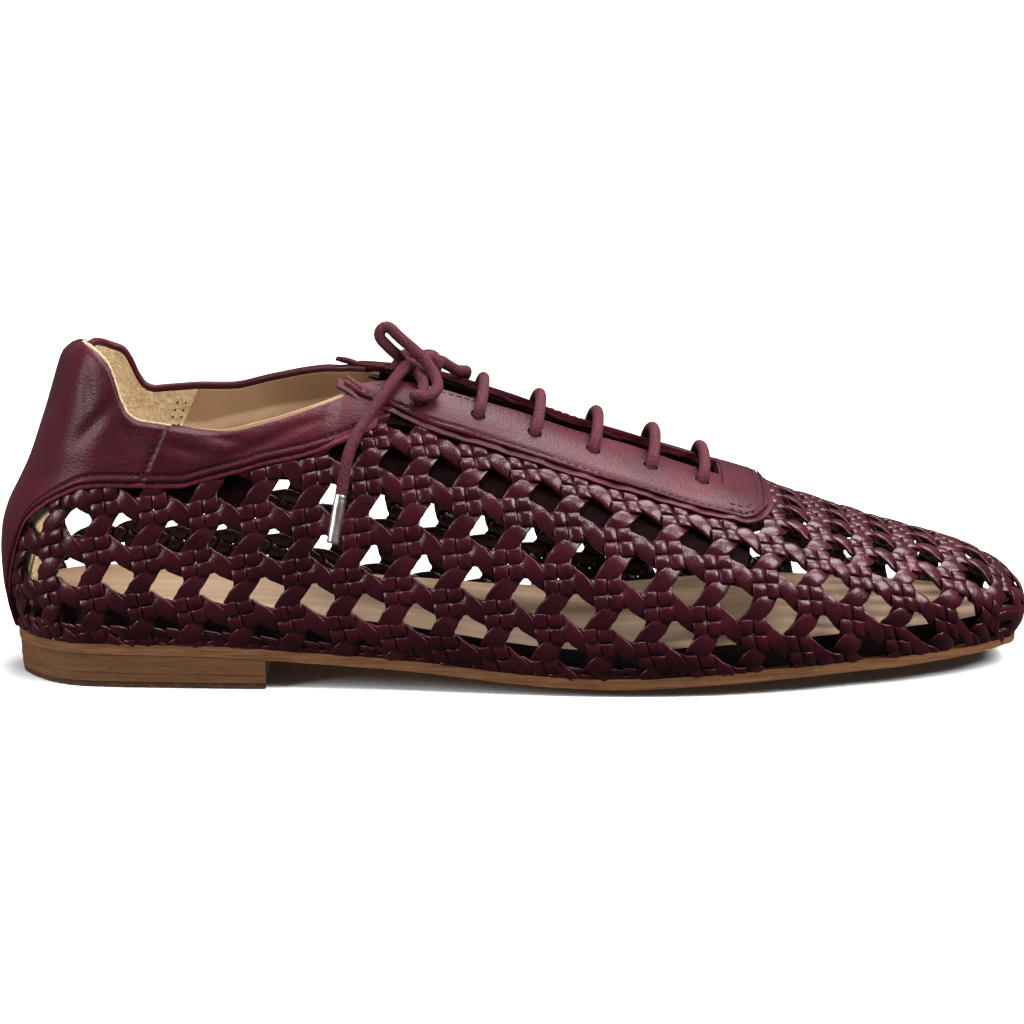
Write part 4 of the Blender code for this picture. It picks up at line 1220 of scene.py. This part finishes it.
for number, (low, high) in enumerate(zip(LIFTS, LIFTS[1:]), 1):
    add_slab(f"heel_lift_{number}", SOLE_LIP - 0.12 * (number % 2), lift_height(high), lift_height(low),
             0.22, [STACK], ["heel"] if number == 1 else [], HEEL_FRONT_X, across=6)
add_slab("heel_rubber", SOLE_LIP - 0.3, lambda x, t, foot: TOP_PIECE + 0 * x, lambda x, t, foot: 0 * x,
         0.3, [RUBBER], ["heel_top_piece"], HEEL_FRONT_X, across=6)


# Lace
def through(route, count):
    """Points spread along a smooth curve through the route."""
    route = np.array(route, float)
    walked = walked_along(route)
    ends = np.concatenate([[2 * route[0] - route[1]], route, [2 * route[-1] - route[-2]]])
    at = np.linspace(0, walked[-1], count)
    k = np.clip(np.searchsorted(walked, at, side="right") - 1, 0, len(route) - 2)
    t = ((at - walked[k]) / (walked[k + 1] - walked[k]))[:, None]
    a, b, c, d = (ends[k + n] for n in range(4))
    bend, twist = 2 * a - 5 * b + 4 * c - d, 3 * b - a - 3 * c + d
    return 0.5 * (2 * b + (c - a) * t + bend * t**2 + twist * t**3)


CORD_FACES = 14                 # faces round a cord


def add_tube(bm, line, radius, taper):
    """A round tube along a line of points in metres, with its ends open."""
    line = np.asarray(line)
    way = np.gradient(line, axis=0)
    way /= np.linalg.norm(way, axis=1, keepdims=True)
    across = np.zeros_like(line)
    across[0] = np.cross(way[0], (0.3, 0.5, 0.81))
    for i in range(1, len(line)):
        across[i] = across[i - 1] - (across[i - 1] @ way[i]) * way[i]
        across[i] /= np.linalg.norm(across[i])
    across[0] /= np.linalg.norm(across[0])
    other = np.cross(way, across)
    radii = radius * 0.001 * np.broadcast_to(taper, len(line))

    def place(a, b):
        i = np.round(a * (len(line) - 1)).astype(int)
        angle = 2 * pi * b[:, None]
        return line[i] + radii[i, None] * (np.cos(angle) * across[i] + np.sin(angle) * other[i])

    uv = bm.loops.layers.uv.active
    made = warped_grid(bm, len(line) - 1, CORD_FACES, place)
    length = walked_along(line)[-1]
    for face in {f for v in made for f in v.link_faces}:
        for loop in face.loops:
            loop[uv].uv = (loop[uv].uv.x * length * 1000, loop[uv].uv.y * 2 * pi * radius)
    bmesh.ops.remove_doubles(bm, verts=made, dist=1e-6)


def add_cord(name, lines, radius, finish, nodes=(), taper=1.0):
    """A piece of round cords along lines, with their ends closed."""
    bm = bmesh.new()
    bm.loops.layers.uv.new("wrap")
    for line in lines:
        add_tube(bm, line, radius, taper)
    bmesh.ops.holes_fill(bm, edges=[e for e in bm.edges if e.is_boundary], sides=64)
    bmesh.ops.recalc_face_normals(bm, faces=bm.faces[:])
    return shaded_by_angle(piece(name, bm, [finish], nodes), 50)


def add_lace(name, lines, nodes=(), radius=LACE_RADIUS):
    return add_cord(name, lines, radius, LACE, nodes)


def eyelet_v(side, u):
    return reach_at(side, u) - EYELET_FROM_RIDGE


BAR_LIFT = 2.15 + LACE_RADIUS
# Half of a bar, from its eyelet to the ridge: share of the way out, and the first four places' lifts
BAR_SHARES = np.array([1.0, 1.0, 1.0, 0.96, 0.84, 0.66, 0.4])
BAR_END_LIFTS = (-3.2, -1.0, 1.6, 3.0)


def bar_line(u, arch):
    """Up through one eyelet, over the throat and down through the other."""
    share = np.r_[-BAR_SHARES, 0, BAR_SHARES[::-1]]
    lift = BAR_LIFT + (arch + 0.6 - BAR_LIFT) * (1 - share**2)
    lift[:4] = BAR_END_LIFTS
    lift[-4:] = BAR_END_LIFTS[::-1]
    side = np.where(share <= 0, OUTER, INNER)
    return through(on_last(side, u, reach_at(side, u) - np.abs(share) * EYELET_FROM_RIDGE, lift), 46)


for number, (u, arch) in enumerate(zip(EYELET_U[1:], BAR_ARCH), 1):
    add_lace(f"lace_bar_cord_{number}", [bar_line(u, arch)], [f"lace_bar_{number}"])

# Runs of the lace under the eyestay: side, eyelet, eyelet, distance from the eyelet line
UNDER_RUNS = [(OUTER, 5, 4, 0), (INNER, 5, 3, 1.7), (INNER, 4, 2, -1.7), (OUTER, 3, 1, 1.7),
              (OUTER, 2, 0, -1.7), (INNER, 1, 0, 0)]
under_lines = []
for side, first, last, away in UNDER_RUNS:
    share = np.linspace(0, 1, 24)
    u = EYELET_U[first] + share * (EYELET_U[last] - EYELET_U[first])
    bow = np.sin(pi * share)
    under_lines.append(on_last(side, u, eyelet_v(side, u) + away * bow, -3.0 - 0.8 * bow))
add_lace("lace_under_runs", under_lines, radius=LACE_RADIUS * 0.95)

wrap = [(KNOT_CENTRE[0] - KNOT_TURN * cos(a), KNOT_START_Y - KNOT_PITCH * a / (2 * pi),
         KNOT_CENTRE[1] - KNOT_TURN * sin(a)) for a in np.linspace(0, 4 * pi, 25)]
eyelet_lifts = np.array([-3, 0, 2.2, 3.4])
into_far, into_near = (on_last(side, EYELET_U[0], eyelet_v(side, EYELET_U[0]), eyelet_lifts)
                       for side in (INNER, OUTER))
knot_route = [into_far, to_row(KNOT_LEADS[0] + wrap + KNOT_LEADS[1]), into_near[::-1]]
knot_line = through(np.concatenate(knot_route), 110)


def tie_to_knot(route):
    """From inside a cord's end to the nearest place on the knot."""
    end = to_row(route[1::-1])
    knot_place = knot_line[np.linalg.norm(knot_line - end[1], axis=1).argmin()]
    return through(np.concatenate([end, [knot_place]]), 14)


tied = (NEAR_LOOP, NEAR_LOOP[::-1], FAR_LOOP, FAR_LOOP[::-1], NEAR_END, FAR_END)
add_lace("lace_knot_cord", [knot_line] + [tie_to_knot(route) for route in tied], ["lace_knot"])

# The inner collar's leather is rolled over its top edge
u = np.linspace(3, 101, 140)
v = top_v(INNER, u) - 0.75
roll_line = on_last(INNER, u, v, -0.1 - tab_lean(INNER, u, v))
add_cord("collar_roll", [roll_line], 0.95, SMOOTH)


for route, name in ((NEAR_LOOP, "near"), (FAR_LOOP, "far")):
    line = through(to_row(route), 60)
    add_lace(f"bow_loop_{name}", [line], [f"lace_loop_{name}"])
for route, name in ((NEAR_END, "near"), (FAR_END, "far")):
    line = through(to_row(route), 44)
    cord = add_lace(f"lace_tail_{name}", [line], [f"lace_end_{name}"])
    way = line[-1] - line[-2]
    way /= np.linalg.norm(way)
    share = np.linspace(0, 1, 26)
    shape = 1 - sum(deep * bell(share - at, 0.03) for at, deep in AGLET_CRIMPS)
    shape[[0, -1]] *= 0.86
    tip = line[-1] + np.outer(share * AGLET_LENGTH * 0.001, way)
    aglet = add_cord(f"aglet_tip_{name}", [tip], AGLET_RADIUS, METAL, [f"aglet_{name}"],
                     shape)


# Stitches
STITCH_PITCH = 2.1
STITCH_HALF = (0.4 * STITCH_PITCH, 0.24, 0.2)   # half length, width and height


def stitched(bm, side, u, v, lift):
    """A row of short threads along a line on the leather."""
    line = on_last(side, u, v, lift)
    normals = on_last(side, u, v, lift + 1.0) - line
    walked = walked_along(line)
    for at in np.arange(STITCH_PITCH * 0.0005, walked[-1], STITCH_PITCH * 0.001):
        spot, ahead, out = (Vector([np.interp(d, walked, column) for column in rows.T])
                            for d, rows in ((at, line), (at + 1e-4, line), (at, normals)))
        x = (ahead - spot).normalized()
        if x.length < 0.5:
            continue
        z = out.normalized()
        y = z.cross(x).normalized()
        turn = Matrix((x, y, z)).transposed().to_4x4()
        turn.translation = spot
        bmesh.ops.create_icosphere(bm, subdivisions=1, radius=0.001,
                                   matrix=turn @ Matrix.Diagonal((*STITCH_HALF, 1)))


bm = bmesh.new()
for side in (OUTER, INNER):
    u = np.linspace(99, EYESTAY_ROUND_U, 160)
    stitched(bm, side, u, reach_at(side, u) - smooth(EYESTAY_EDGE, u) + EYESTAY_LIP + 1.15, 1.66)
    u = np.linspace(104, THROAT_FRONT_U, 130)
    stitched(bm, side, u, reach_at(side, u) - throat_half(side, u) - 1.2, 1.92)
    v = np.linspace(44, 56, 30)
    for away in (-1.0, -2.1):
        stitched(bm, side, seam_u(v) + away, v, 1.2)
    u = np.linspace(11, 100, 170)
    stitched(bm, side, u, smooth(PIPING, u) + 2.3, np.where(u > 52, 1.45, 1.22))
away = np.linspace(-15, 15, 60)
side = np.where(away < 0, OUTER, INNER)
u = THROAT_FRONT_U + 1.0
stitched(bm, side, u, reach_at(side, u) - np.abs(away), 1.98)
for inset in (EYESTAY_LIP + 1.2, EYESTAY_LIP + 3.4):
    tip_u = EYESTAY_FRONT_U - inset
    u = np.r_[np.linspace(199, EYESTAY_ROUND_U, 12), np.linspace(EYESTAY_ROUND_U, tip_u, 40)[1:]]
    away = eyestay_half_edge(inset, u)
    across = np.linspace(away[-1], -away[-1], 40)[1:-1]
    away = np.r_[-away, -across, away[::-1]]
    u = np.r_[u, np.full_like(across, tip_u), u[::-1]]
    side = np.where(away < 0, OUTER, INNER)
    stitched(bm, side, u, reach_at(side, u) - np.abs(away), 2.08)
piece("stitches", bm, [THREAD])


# Pinholes where the suede meets the lining, on its inner face
bm = bmesh.new()
for side in (OUTER, INNER):
    for column in range(2):
        for row in range(5):
            v = top_v(side, 52.0) - 5.0 - 2.1 * row
            u = 55.4 - 2.2 * column - 0.34 * row
            spot = Matrix.Translation(on_last(side, u, v, lining_lift(side, u, v, 0) - 0.8))
            bmesh.ops.create_icosphere(bm, subdivisions=1, radius=0.00032, matrix=spot)
# Painted shade: the near-black dots stand for the dark insides of the holes
piece("pinholes", bm, [DARK_BACKING_AND_PAINTED_SHADE])


# Floor, light and camera
def add_floor():
    bm = bmesh.new()
    bmesh.ops.create_grid(bm, x_segments=1, y_segments=1, size=3)
    floor = put("floor", mesh_of("floor", bm))
    f = Finish("white_paper", specular_ior_level=0.1)
    mottle = f.noise(3, 2)
    colour = f.blend(mottle, (0.93, 0.93, 0.93), (0.95, 0.95, 0.95))
    floor.data.materials.append(f.wear(base_color=colour, roughness=0.9 + 0.05 * mottle))
    floor.location.z = -0.0002
    floor.visible_glossy = False
    floor.visible_diffuse = False
    floor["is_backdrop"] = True


def aim_at(made, place, towards):
    made.location = place
    made.rotation_euler = (Vector(towards) - made.location).to_track_quat("-Z", "Y").to_euler()


def add_light(name, place, towards, size, watts):
    lamp = bpy.data.lights.new(name, "AREA")
    lamp.shape = "RECTANGLE"
    lamp.size, lamp.size_y = size
    lamp.energy = watts
    aim_at(put(name, lamp), place, towards)


add_floor()
add_light("overhead", (0.05, -0.4, 1.1), (0.02, 0, 0.03), (0.45, 0.25), 7.2)
add_light("left", (-0.72, -0.36, 0.36), (-0.1, 0, 0.05), (0.35, 0.35), 5.0)
add_light("right", (0.5, -0.22, 0.5), (0.1, 0, 0.03), (0.35, 0.35), 6.5)
sky = bpy.data.lights.new("softbox", "SUN")
sky.energy = 4.0
sky.angle = radians(40)
put("softbox", sky).rotation_euler = (radians(-20), radians(10), 0)
world = bpy.data.worlds.new("white_room")
world.use_nodes = True
background = world.node_tree.nodes["Background"].inputs
background["Color"].default_value = (1, 1, 1, 1)
background["Strength"].default_value = 0.12
bpy.context.scene.world = world
bpy.context.scene.view_settings.view_transform = "Standard"

# The camera stands a metre off, so the width of the view sets its lens
PIXELS_WIDE = 1024
MM_PER_PIXEL = 0.2606
VIEW_WIDTH = PIXELS_WIDE * MM_PER_PIXEL / 1000
CAMERA_TILT = radians(12.5)
lens = bpy.data.cameras.new("camera")
lens.sensor_width = 36
lens.lens = lens.sensor_width / VIEW_WIDTH
camera = put("camera", lens)
aim = Vector(to_row((133, 0, 40)))
aim_at(camera, aim + Vector((0, -cos(CAMERA_TILT), sin(CAMERA_TILT))), aim)
bpy.context.scene.camera = camera

low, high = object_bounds()
